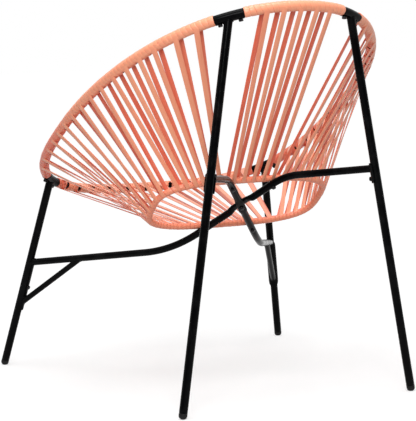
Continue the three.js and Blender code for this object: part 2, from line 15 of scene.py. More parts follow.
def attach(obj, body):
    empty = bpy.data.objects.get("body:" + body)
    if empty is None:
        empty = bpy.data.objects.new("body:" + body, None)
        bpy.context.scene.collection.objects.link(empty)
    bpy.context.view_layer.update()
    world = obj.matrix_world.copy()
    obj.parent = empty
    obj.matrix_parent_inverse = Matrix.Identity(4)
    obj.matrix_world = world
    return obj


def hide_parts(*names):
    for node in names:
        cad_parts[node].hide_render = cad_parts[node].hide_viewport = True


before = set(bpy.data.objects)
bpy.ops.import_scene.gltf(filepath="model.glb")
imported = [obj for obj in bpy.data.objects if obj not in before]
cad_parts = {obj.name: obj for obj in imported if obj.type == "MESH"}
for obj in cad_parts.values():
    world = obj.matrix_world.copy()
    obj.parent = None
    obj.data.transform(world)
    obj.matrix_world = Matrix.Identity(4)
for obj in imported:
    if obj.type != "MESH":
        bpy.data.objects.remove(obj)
log = logging.getLogger("string_chair")

Array = np.ndarray
Triple = tuple[float, float, float]
MM = 0.001
TURN = 2 * math.pi
BODY = "root"
WHITE = (1.0, 1.0, 1.0, 1.0)
# Room between pieces that rest on each other, and how far a bolt goes into a tube.
GAP = 0.3 * MM
BITE = 6 * MM
# Brings the middle of the chair's box over the origin.
BACK_SHIFT = -14.665 * MM
# Directions to set up the circles of legs and bolts with. No leg and no bolt lies along its own.
LEG_HINT = np.array([0.0, 1.0, 0.0])
BOLT_HINT = np.array([0.31, 0.47, 0.83])
# The tone of surfaces whose finish reads none.
PLAIN_TONE = 0.5
# Places of the pairs of strands, as shares of a panel's span on the hoop and on the ring.
BACK_HOOP_SHARES = (0.194, 0.34, 0.5, 0.659, 0.815)
BACK_RING_SHARES = (0.1, 0.3, 0.5, 0.7, 0.9)
SIDE_HOOP_SHARES = (
    0.047, 0.109, 0.179, 0.233, 0.287, 0.343, 0.402, 0.46,
    0.518, 0.578, 0.636, 0.691, 0.743, 0.798, 0.861, 0.921,
)
SIDE_RING_SHARES = (
    0.03, 0.087, 0.146, 0.202, 0.262, 0.324, 0.43, 0.491,
    0.555, 0.616, 0.677, 0.737, 0.797, 0.857, 0.915, 0.97,
)
FRONT_SHARES = (0.042, 0.125, 0.209, 0.292, 0.375, 0.458, 0.542, 0.625, 0.708, 0.791, 0.875, 0.958)
FRONT_SLITS = (0.07, 0.146, 0.221, 0.303, 0.396, 0.489, 0.604, 0.697, 0.779, 0.854, 0.93)


class Side(Enum):
    """The sitter's left or right, as the sign of X."""

    LEFT = 1
    RIGHT = -1


class End(Enum):
    """The high back of the chair or its front."""

    REAR = "rear"
    FRONT = "front"


class Layer(Enum):
    """The face of the bowl that a strand runs on, as the sign of its offset towards the sitter."""

    INNER = 1
    OUTER = -1


def unit(vectors: Array) -> Array:
    """Vectors brought to length one along their last axis."""
    return vectors / np.linalg.norm(vectors, axis=-1, keepdims=True)


def smooth(share: Array | float) -> Array | float:
    """The curve 3 t squared minus 2 t cubed, with t held between 0 and 1."""
    held = np.clip(share, 0.0, 1.0)
    return held * held * (3 - 2 * held)


def step(value: Array | float, start: float, end: float) -> Array | float:
    """A smooth step from 0 where the value is start to 1 where it is end."""
    return smooth((value - start) / (end - start))


def bulge(wave: Array, power: Array | float) -> Array:
    """sign(wave) |wave|^power, which squares a sine off where the power is below 1."""
    return np.sign(wave) * np.abs(wave) ** power


def once_round(sides: int) -> Array:
    """Even angles once round a tube."""
    return np.arange(sides) * TURN / sides


def lengths_along(points: Array) -> Array:
    """The length along a path at each of its points."""
    return np.concatenate([[0.0], np.cumsum(np.linalg.norm(np.diff(points, axis=0), axis=1))])


def slope_axes(tilt: float) -> tuple[Array, Array]:
    """The direction up a slope that rises to the back, and the direction square to it."""
    return np.array([0.0, math.cos(tilt), math.sin(tilt)]), np.array([0.0, -math.sin(tilt), math.cos(tilt)])


def numbered(stem: str, count: int) -> tuple[str, ...]:
    """The names stem_1 to stem_count."""
    return tuple(f"{stem}_{i}" for i in range(1, count + 1))


def flipped(shares: tuple[float, ...]) -> tuple[float, ...]:
    """Shares of a span, counted from its other end."""
    return tuple(1 - share for share in reversed(shares))


def linear(screen: Triple) -> tuple[float, float, float, float]:
    """A screen colour in steps of 255 as linear light, with alpha 1.

    A part c is c / 12.92 up to 0.04045, and ((c + 0.055) / 1.055)^2.4 above it.
    """
    parts = [c / 255 for c in screen]
    light = [c / 12.92 if c <= 0.04045 else ((c + 0.055) / 1.055) ** 2.4 for c in parts]
    return light[0], light[1], light[2], 1.0


def placed(name: str, data: bpy.types.ID) -> bpy.types.Object:
    """A new object, linked to the scene."""
    made = bpy.data.objects.new(name, data)
    bpy.context.scene.collection.objects.link(made)
    return made


@dataclass(frozen=True)
class Stations:
    """Points along a path with the path's direction and two directions square to it, each an array n by 3."""

    point: Array
    tangent: Array
    across: Array
    up: Array

    def ring(self, radius: Array | float, turns: Array) -> Array:
        """Circles round the stations: centre plus radius times (cosine across plus sine up).

        Args:
            radius: One radius, or an array that fits stations by turns.
            turns: Angles round the path.

        Returns:
            A grid of points, stations by turns by 3.
        """
        outward = np.cos(turns)[None, :, None] * self.across[:, None, :]
        outward = outward + np.sin(turns)[None, :, None] * self.up[:, None, :]
        reach = np.broadcast_to(np.asarray(radius, float), (len(self.point), len(turns)))
        return self.point[:, None, :] + reach[:, :, None] * outward


@dataclass(frozen=True)
class TiltedLoop:
    """A closed loop in a tilted plane: half an oval behind its widest line and half an oval in front of it.

    With turn t, the depth is widest + sign(cos t) |cos t|^(2/roundness) reach, the width is
    sign(sin t) |sin t|^(2/roundness) half_width, and the loop droops by bow (depth / rear_reach)^2.
    """

    middle: Triple
    tilt: float
    half_width: float
    widest: float
    rear_reach: float
    front_reach: float
    rear_roundness: float
    front_roundness: float
    bow: float = 0.0
    samples: int = 24001
    table: dict[str, Array] = field(default_factory=dict, compare=False)

    def __post_init__(self) -> None:
        """Works out the table from length along the loop to turn."""
        self.table["turn"] = np.linspace(0, TURN, self.samples)
        self.table["arc"] = lengths_along(self.at_turn(self.table["turn"]))

    @property
    def length(self) -> float:
        """The length once round."""
        return float(self.table["arc"][-1])

    def at_turn(self, turns: Array) -> Array:
        """Points, n by 3, at turns from the middle of the back, with the formula of the class."""
        along, aside = np.cos(turns), np.sin(turns)
        behind = along >= 0
        power = 2 / np.where(behind, self.rear_roundness, self.front_roundness)
        reach = np.where(behind, self.rear_reach, self.front_reach)
        depth = self.widest + bulge(along, power) * reach
        slope, up = slope_axes(self.tilt)
        droop = self.bow * (depth / self.rear_reach) ** 2
        flat = np.array(self.middle) + depth[:, None] * slope - droop[:, None] * up
        return flat + (bulge(aside, power) * self.half_width)[:, None] * np.array([1.0, 0.0, 0.0])

    def at_arc(self, arcs: Array) -> Array:
        """Points at lengths along the loop, by a look into the table of lengths."""
        return self.at_turn(np.interp(np.mod(arcs, self.length), self.table["arc"], self.table["turn"]))

    def stations(self, arcs: Array | float) -> Stations:
        """Stations at lengths along the loop, with the tangent taken between points a little before and after."""
        arcs = np.atleast_1d(np.asarray(arcs, float))
        nearby = 1.2 * MM
        tangent = unit(self.at_arc(arcs + nearby) - self.at_arc(arcs - nearby))
        across = unit(np.cross(slope_axes(self.tilt)[1], tangent))
        return Stations(self.at_arc(arcs), tangent, across, np.cross(tangent, across))


@dataclass(frozen=True)
class Finish:
    """A material and the record's slot that it fills."""

    material: bpy.types.Material
    slot: str


class Skin:
    """Gathers surface grids and makes one mesh of them, with a UV map and a tone for each vertex."""

    def __init__(self) -> None:
        """Starts with no faces."""
        self.points: list[Array] = []
        self.quads: list[Array] = []
        self.quad_uvs: list[Array] = []
        self.tris: list[Array] = []
        self.tones: list[Array] = []
        self.count = 0

    def tube(
        self,
        grid: Array,
        loop: bool = False,
        tone: Array | float = PLAIN_TONE,
        u: Array | None = None,
        v: Array | None = None,
    ) -> None:
        """Adds a surface that is closed round its columns.

        Args:
            grid: Points, rows along the path by columns round it by 3.
            loop: Joins the last row to the first. Otherwise each end is closed to a pole in its middle.
            tone: What the finishes read: 0 is light, 1 deep and 2 the dark colour of the seams. Deep and the
            seam colour mostly stand for painted shade. One value, or one for each point.
            u: UV across, one value for each column and one more to close with.
            v: UV along, one value for each row and one more.
        """
        rows, cols = grid.shape[:2]
        base = self.count
        u = np.linspace(0, 1, cols + 1) if u is None else u
        v = np.arange(rows + 1) / rows if v is None else v
        row, column = np.arange(rows if loop else rows - 1), np.arange(cols)
        low = base + row[:, None] * cols + column
        high = base + ((row + 1) % rows)[:, None] * cols + column
        uv = np.empty((len(row), cols, 4, 2))
        uv[..., 0] = np.stack([u[:-1], u[1:], u[1:], u[:-1]], -1)[None]
        uv[..., :2, 1] = v[row][:, None, None]
        uv[..., 2:, 1] = v[row + 1][:, None, None]
        self.points.append(grid.reshape(-1, 3))
        self.quads.append(np.stack([low, np.roll(low, -1, 1), np.roll(high, -1, 1), high], -1).reshape(-1, 4))
        self.quad_uvs.append(uv.reshape(-1, 2))
        self.tones.append(np.broadcast_to(np.asarray(tone, float), (rows, cols)).ravel())
        self.count += rows * cols
        if not loop:
            first, last = base + column, base + (rows - 1) * cols + column
            self.tris.append(np.stack([np.full(cols, self.count), np.roll(first, -1), first], -1))
            self.tris.append(np.stack([np.full(cols, self.count + 1), last, np.roll(last, -1)], -1))
            self.points.append(np.stack([grid[0].mean(0), grid[-1].mean(0)]))
            self.tones.append(np.full(2, np.mean(tone)))
            self.count += 2

    def slab(self, outer: Array, inner: Array) -> None:
        """Adds a plate between two grids of the same shape, closed along all four edges.

        Args:
            outer: Points of the outer face, rows by columns by 3.
            inner: Points of the inner face.
        """
        index = np.arange(outer.shape[0] * outer.shape[1]).reshape(outer.shape[:2])
        face = np.stack([index[:-1, :-1], index[:-1, 1:], index[1:, 1:], index[1:, :-1]], -1).reshape(-1, 4)
        border = np.concatenate([index[0, :-1], index[:-1, -1], index[-1, :0:-1], index[:0:-1, 0]])
        after = np.roll(border, -1)
        wall = np.stack([after, border, border + index.size, after + index.size], -1)
        quads = np.concatenate([face, face[:, ::-1] + index.size, wall]) + self.count
        self.points += [outer.reshape(-1, 3), inner.reshape(-1, 3)]
        self.quads.append(quads)
        self.quad_uvs.append(np.tile([[0.0, 0.0], [1.0, 0.0], [1.0, 1.0], [0.0, 1.0]], (len(quads), 1)))
        self.tones.append(np.full(2 * index.size, PLAIN_TONE))
        self.count += 2 * index.size

    def piece(self, name: str, finish: Finish, *replaces: str) -> bpy.types.Object:
        """Makes the mesh and its object, which rides on the chair.

        Args:
            name: The piece's name.
            finish: Its material and slot.
            replaces: The CAD nodes that it stands for.

        Returns:
            The new object.
        """
        points, quads = np.concatenate(self.points), np.concatenate(self.quads)
        tris = np.concatenate(self.tris) if self.tris else np.empty((0, 3), int)
        mesh = bpy.data.meshes.new(name)
        mesh.vertices.add(len(points))
        mesh.vertices.foreach_set("co", points.astype(np.float32).ravel())
        starts = np.concatenate([np.arange(len(quads)) * 4, quads.size + np.arange(len(tris)) * 3])
        mesh.loops.add(quads.size + tris.size)
        mesh.loops.foreach_set("vertex_index", np.concatenate([quads.ravel(), tris.ravel()]).astype(np.int32))
        mesh.polygons.add(len(starts))
        mesh.polygons.foreach_set("loop_start", starts.astype(np.int32))
        mesh.update(calc_edges=True)
        uv = np.concatenate([np.concatenate(self.quad_uvs), np.full((tris.size, 2), 0.5)])
        mesh.uv_layers.new(name="strip").data.foreach_set("uv", uv.astype(np.float32).ravel())
        # The tone carries the painted shade, with some random variation, that the cord finish reads.
        tone = mesh.attributes.new("tone", "FLOAT", "POINT")
        tone.data.foreach_set("value", np.concatenate(self.tones).astype(np.float32))
        mesh.validate()
        mesh.shade_smooth()
        mesh.set_sharp_from_angle(angle=math.radians(48))
        mesh.materials.append(finish.material)
        made = placed(name, mesh)
        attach(made, BODY)
        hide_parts(*replaces)
        log.info("%s: %d vertices, for %s", name, len(points), ", ".join(replaces))
        return made


def sum_of(operation: str, reflected: bool = False) -> Callable[["Value", "Value | float"], "Value"]:
    """A method for Value that does one sum in a Math node.

    Args:
        operation: The node's operation.
        reflected: Puts the other operand first, as for 1 - value.

    Returns:
        The method, which takes the other operand and gives the result.
    """

    def method(self: "Value", other: "Value | float") -> "Value":
        """The result of the sum with another value or number."""
        return self.math(operation, other, self) if reflected else self.math(operation, self, other)

    return method


class Value:
    """A shader socket that takes part in Python sums: numbers and other values may stand beside it."""

    def __init__(self, shader: "Shader", socket: bpy.types.NodeSocket) -> None:
        """Keeps the shader that the socket belongs to."""
        self.shader = shader
        self.socket = socket

    def math(self, operation: str, *operands: "Value | float") -> "Value":
        """The result of a Math node on these operands, or on this value alone."""
        inputs = dict(enumerate(operands or (self,)))
        return self.shader.value(self.shader.node("ShaderNodeMath", {"operation": operation}, inputs))

    __add__ = __radd__ = sum_of("ADD")
    __mul__ = __rmul__ = sum_of("MULTIPLY")
    __sub__, __rsub__ = sum_of("SUBTRACT"), sum_of("SUBTRACT", reflected=True)
    __truediv__, __rtruediv__ = sum_of("DIVIDE"), sum_of("DIVIDE", reflected=True)
    __pow__, __rpow__ = sum_of("POWER"), sum_of("POWER", reflected=True)
    larger, smaller = sum_of("MAXIMUM"), sum_of("MINIMUM")

    def ramp(self, low: float, high: float) -> "Value":
        """A smooth step from 0 at low to 1 at high."""
        inputs = {0: self, 1: low, 2: high, 3: 0.0, 4: 1.0}
        return self.shader.value(
            self.shader.node("ShaderNodeMapRange", {"interpolation_type": "SMOOTHSTEP"}, inputs)
        )


class Shader:
    """A material under construction, or the world."""

    def __init__(self, name: str, world: bool = False) -> None:
        """Makes an empty material or world with its output."""
        self.name = name
        self.holder = (bpy.data.worlds if world else bpy.data.materials).new(name)
        self.holder.use_nodes = True
        self.tree = self.holder.node_tree
        self.tree.nodes.clear()
        self.output = self.node("ShaderNodeOutputWorld" if world else "ShaderNodeOutputMaterial")

    def node(
        self, kind: str, settings: dict[str, object] | None = None, inputs: dict[str | int, object] | None = None
    ) -> bpy.types.Node:
        """Any node.

        Args:
            kind: The node's type.
            settings: Its properties, which are set first.
            inputs: Values or links of its sockets, by name or place. A node stands for its first output.

        Returns:
            The new node.
        """
        made = self.tree.nodes.new(kind)
        for key, setting in (settings or {}).items():
            setattr(made, key, setting)
        for key, value in (inputs or {}).items():
            if isinstance(value, Value):
                self.tree.links.new(value.socket, made.inputs[key])
            elif isinstance(value, bpy.types.Node):
                self.tree.links.new(value.outputs[0], made.inputs[key])
            else:
                made.inputs[key].default_value = value
        return made

    def value(self, node: bpy.types.Node, output: str | int = 0) -> Value:
        """A node's output as a value."""
        return Value(self, node.outputs[output])

    def place(self) -> Value:
        """Object coordinates."""
        return self.value(self.node("ShaderNodeTexCoord"), "Object")

    def part(self, vector: Value, axis: int) -> Value:
        """One of the three parts of a vector."""
        return self.value(self.node("ShaderNodeSeparateXYZ", inputs={0: vector}), axis)

    def noise(self, scale: float, detail: float = 2.0) -> Value:
        """Noise from 0 to 1 at a number of cells to the metre."""
        inputs = {"Vector": self.place(), "Scale": scale, "Detail": detail}
        return self.value(self.node("ShaderNodeTexNoise", inputs=inputs), "Fac")

    def mix(self, share: Value, first: Triple | Value, second: Triple) -> Value:
        """A colour between two screen colours, of which the first may be a mix itself.

        The node's inputs 0, 6 and 7 are the share and the two colours, and its output 2 is the colour.

        Args:
            share: 0 for the first colour and 1 for the second.
            first: The first colour.
            second: The second colour.

        Returns:
            The mixed colour.
        """
        start = first if isinstance(first, Value) else linear(first)
        made = self.node("ShaderNodeMix", {"data_type": "RGBA"}, {0: share, 6: start, 7: linear(second)})
        return self.value(made, 2)

    def bump(self, height: Value, distance: float, strength: float) -> Value:
        """A normal from a height.

        Args:
            height: The height, about 0 to 1.
            distance: What a height of 1 stands for, in metres.
            strength: How far the normal turns.

        Returns:
            The normal.
        """
        inputs = {"Strength": strength, "Distance": distance, "Height": height}
        return self.value(self.node("ShaderNodeBump", inputs=inputs))

    def end(self, last: bpy.types.Node) -> None:
        """Ends the material or the world in a shader node."""
        self.tree.links.new(last.outputs[0], self.output.inputs["Surface"])

    def surface(self, **sockets: object) -> Finish:
        """Ends the material in a Principled shader with these sockets, whose spaces are written as underscores."""
        named = {key.replace("_", " "): value for key, value in sockets.items()}
        self.end(self.node("ShaderNodeBsdfPrincipled", inputs=named))
        return Finish(self.holder, self.name)


@dataclass(frozen=True)
class CordFinish:
    """Salmon PVC cord: a soft satin strip with fine ribs along it, and small differences from strand to strand."""

    light: Triple = (242, 157, 121)
    # Mostly painted shade: the colour of faces that the tone marks as shaded. Random strand tones lean a little
    # towards it too.
    deep: Triple = (230, 113, 85)
    # Painted shade in the seams between turns: the dark brown that the highest tones turn to.
    crease_shade: Triple = (120, 52, 38)
    ribs: float = 5.0
    rib_height: float = 0.05 * MM
    roughness: float = 0.34
    grain: float = 0.12
    cloud: float = 0.2
    # Tones over which the colour turns to the seams' painted shade.
    crease_tones: tuple[float, float] = (1.1, 2.0)
    cloud_cells: float = 14.0
    grain_cells: float = 260.0
    tone_share: float = 0.9
    rib_share: float = 0.8

    def make(self) -> Finish:
        """The finish as a material."""
        shader = Shader("salmon_cord")
        across = shader.part(shader.value(shader.node("ShaderNodeUVMap", {"uv_map": "strip"})), 0)
        cloud = shader.noise(self.cloud_cells, 3.0)
        fine = shader.noise(self.grain_cells)
        tone = shader.value(shader.node("ShaderNodeAttribute", {"attribute_name": "tone"}), "Fac")
        # The tone brings in painted shade, and the cloud a little random variation.
        share = (tone * self.tone_share + cloud * self.cloud - self.cloud / 2).larger(0.0).smaller(1.0)
        strip = shader.mix(share, self.light, self.deep)
        ribs = (across * (self.ribs * TURN)).math("SINE") * 0.5 + 0.5
        return shader.surface(
            # The highest tones turn to the dark painted shade of the seams.
            Base_Color=shader.mix(tone.ramp(*self.crease_tones), strip, self.crease_shade),
            Roughness=fine * self.grain + (self.roughness - self.grain / 2),
            IOR=1.5,
            Specular_IOR_Level=0.5,
            Normal=shader.bump(ribs * self.rib_share + fine * (1 - self.rib_share), self.rib_height, 0.3),
        )


@dataclass(frozen=True)
class CoatFinish:
    """Glossy black powder coat, with the faint orange peel of such a coat and a little dust in its hollows."""

    colour: Triple = (4, 4, 5)
    worn: Triple = (14, 14, 15)
    roughness: float = 0.16
    cloudy: float = 0.12
    peel: float = 0.02 * MM
    shine: float = 0.045
    peel_share: float = 0.4
    dusty: tuple[float, float] = (0.62, 0.95)
    dust_dulls: float = 0.1

    def make(self) -> Finish:
        """The finish as a material."""
        shader = Shader("gloss_black")
        cloud = shader.noise(30.0, 3.0)
        peel = shader.noise(260.0, 1.0)
        dust = (cloud + peel * self.peel_share).ramp(*self.dusty)
        return shader.surface(
            Base_Color=shader.mix(dust, self.colour, self.worn),
            Roughness=cloud * self.cloudy + (self.roughness - self.cloudy / 2) + dust * self.dust_dulls,
            IOR=1.5,
            Specular_IOR_Level=self.shine,
            Normal=shader.bump(peel, self.peel, 0.15),
        )


@dataclass(frozen=True)
class BoltFinish:
    """Blackened zinc on bolts, with bright rubbed flats."""

    colour: Triple = (22, 22, 24)
    rubbed: Triple = (58, 58, 61)
    rubs: tuple[float, float] = (0.55, 0.75)
    metallic: float = 0.8
    roughness: float = 0.3
    grain: float = 0.2

    def make(self) -> Finish:
        """The finish as a material."""
        shader = Shader("dark_zinc")
        grain = shader.noise(420.0, 3.0)
        return shader.surface(
            Base_Color=shader.mix(grain.ramp(*self.rubs), self.colour, self.rubbed),
            Metallic=self.metallic,
            Roughness=self.roughness + grain * self.grain,
            Normal=shader.bump(grain, 0.03 * MM, 0.4),
        )


@dataclass(frozen=True)
class RubberFinish:
    """Moulded black foot cap, satin, scuffed near the floor."""

    colour: Triple = (5, 5, 5)
    scuffed: Triple = (24, 23, 23)
    scuff_height: float = 9 * MM
    scuffs: tuple[float, float] = (0.35, 0.7)
    roughness: float = 0.5
    grain: float = 0.2

    def make(self) -> Finish:
        """The finish as a material."""
        shader = Shader("cap_rubber")
        height = shader.part(shader.place(), 2)
        grain = shader.noise(850.0)
        scuff = (1 - height / self.scuff_height).larger(0.0) * grain.ramp(*self.scuffs)
        return shader.surface(
            Base_Color=shader.mix(scuff, self.colour, self.scuffed),
            Roughness=self.roughness + grain * self.grain,
            Specular_IOR_Level=0.25,
            Normal=shader.bump(grain, 0.05 * MM, 0.5),
        )


@dataclass(frozen=True)
class Finishes:
    """The finishes that the pieces share."""

    cord: Finish
    coat: Finish
    bolt: Finish
    rubber: Finish


@dataclass(frozen=True)
class Skeleton:
    """The lines that all pieces are built on: the hoop, the seat ring and the slope of the seat."""

    hoop_radius: float = 9.5 * MM
    ring_radius: float = 5.5 * MM
    wrap: float = 1.9 * MM
    brace_radius: float = 8 * MM
    leg_radius: float = 9 * MM
    plate_inner: float = 9.3 * MM
    plate_outer: float = 12.3 * MM
    crossing_back: float = 143.6 * MM
    crossing_height: float = 401.2 * MM
    seat_tilt: float = math.radians(39)
    ring_forward: float = 11 * MM
    ring_reach: float = 86 * MM
    brace_splay: float = math.radians(33.5)
    hoop_tilt: float = math.radians(28.4)
    hoop_rear: float = 426 * MM
    hoop_front: float = 359 * MM
    hoop_widest: float = -50 * MM

    @property
    def crossing(self) -> Array:
        """Where the braces cross."""
        return np.array([0.0, self.crossing_back + BACK_SHIFT, self.crossing_height])

    @property
    def seat_up(self) -> Array:
        """Square to the seat's slope."""
        return slope_axes(self.seat_tilt)[1]

    @property
    def ring_lift(self) -> float:
        """Height of the ring's tube over the braces' plane."""
        return self.ring_radius + self.wrap + GAP + self.brace_radius

    def on_slope(self, x: float, along: float, lift: float = 0.0) -> Array:
        """A point on the seat's slope: crossing plus along times slope plus lift times up, with its own x."""
        slope, up = slope_axes(self.seat_tilt)
        point = self.crossing + along * slope + lift * up
        return np.array([x, point[1], point[2]])

    def hoop(self) -> TiltedLoop:
        """The hoop's middle line."""
        flat = math.cos(self.hoop_tilt)
        return TiltedLoop(
            middle=(0.0, BACK_SHIFT, 606 * MM),
            tilt=self.hoop_tilt,
            half_width=340 * MM,
            widest=self.hoop_widest / flat,
            rear_reach=(self.hoop_rear - self.hoop_widest) / flat,
            front_reach=(self.hoop_front + self.hoop_widest) / flat,
            rear_roundness=2.18,
            front_roundness=3.04,
            bow=6 * MM,
        )

    def ring(self) -> TiltedLoop:
        """The seat ring's middle line."""
        return TiltedLoop(
            middle=tuple(self.on_slope(0.0, -self.ring_forward, self.ring_lift)),
            tilt=self.seat_tilt,
            half_width=205 * MM,
            widest=0.0,
            rear_reach=self.ring_reach,
            front_reach=self.ring_reach,
            rear_roundness=3.3,
            front_roundness=3.3,
        )


@dataclass(frozen=True)
class LegPlan:
    """A leg's places: its foot from the middle, its saddle along the hoop, and what is up the leg from the floor.

    The plate's bolt is counted from the foot of the plate.
    """

    foot_aside: float
    foot_back: float
    saddle: float
    joint: float
    plate_start: float
    plate_length: float
    bolt: float


LEG_PLANS = {
    End.REAR: LegPlan(272.8 * MM, 400.6 * MM, 149 * MM, 492.5 * MM, 461.5 * MM, 43 * MM, 9 * MM),
    End.FRONT: LegPlan(372 * MM, -400.6 * MM, 990.5 * MM, 262.5 * MM, 145 * MM, 126 * MM, 58.75 * MM),
}


@dataclass(frozen=True)
class Strand:
    """Where one strand lies: its lengths along the hoop and along the ring, and its layer."""

    hoop_arc: float
    ring_arc: float
    layer: Layer


@dataclass(frozen=True)
class Panel:
    """One panel of cord: its spans on the hoop and the ring, and its pairs' places as shares of them.

    The tucks say how far the inner strand of each pair lies towards its outer one.
    """

    name: str
    nodes: tuple[str, ...]
    hoop_span: tuple[float, float]
    ring_span: tuple[float, float]
    hoop_shares: tuple[float, ...]
    ring_shares: tuple[float, ...]
    first: Layer
    slits: tuple[float, ...] = ()
    slit: float = 6 * MM
    hoop_tucks: tuple[float, ...] = ()
    ring_tucks: tuple[float, ...] = ()

    @staticmethod
    def places(span: tuple[float, float], shares: tuple[float, ...]) -> Array:
        """Lengths at shares of a span."""
        return span[0] + (span[1] - span[0]) * np.array(shares)

    def mirrored(self, name: str, nodes: tuple[str, ...]) -> "Panel":
        """The same panel on the other side of the chair."""
        return replace(
            self,
            name=name,
            nodes=nodes,
            hoop_span=(-self.hoop_span[1], -self.hoop_span[0]),
            ring_span=(-self.ring_span[1], -self.ring_span[0]),
            hoop_shares=flipped(self.hoop_shares),
            ring_shares=flipped(self.ring_shares),
            slits=flipped(self.slits),
            hoop_tucks=self.hoop_tucks[::-1],
            ring_tucks=self.ring_tucks[::-1],
            first=Layer(-self.first.value),
        )

    def strands(self, hoop_split: float, ring_split: float) -> list[Strand]:
        """The strands in order along the hoop.

        Args:
            hoop_split: How far apart the two strands of a pair lie along the hoop.
            ring_split: How far apart they lie along the ring.

        Returns:
            Two strands for each pair, the first of them on the panel's first layer.
        """
        on_hoop = self.places(self.hoop_span, self.hoop_shares)
        middles = np.stack([on_hoop, self.places(self.ring_span, self.ring_shares)])
        untucked = (0.0,) * middles.shape[1]
        tucks = np.array([self.hoop_tucks or untucked, self.ring_tucks or untucked])
        made = []
        for middle, tuck in zip(middles.T, tucks.T):
            for hand, layer in ((-1, self.first), (1, Layer(-self.first.value))):
                apart = np.array([hoop_split, ring_split]) / 2 - (tuck if layer is Layer.INNER else 0.0)
                made.append(Strand(*(middle + hand * apart), layer))
        return made


@dataclass(frozen=True)
class Wound:
    """How turns lie on a tube: its radius, columns round it, slant, depth between turns, tone and slits' width."""

    radius: float
    sides: int
    lean: float
    ridge: float
    # A painted shade over all the turns on this tube, towards the deep colour.
    tone: float
    slit: float


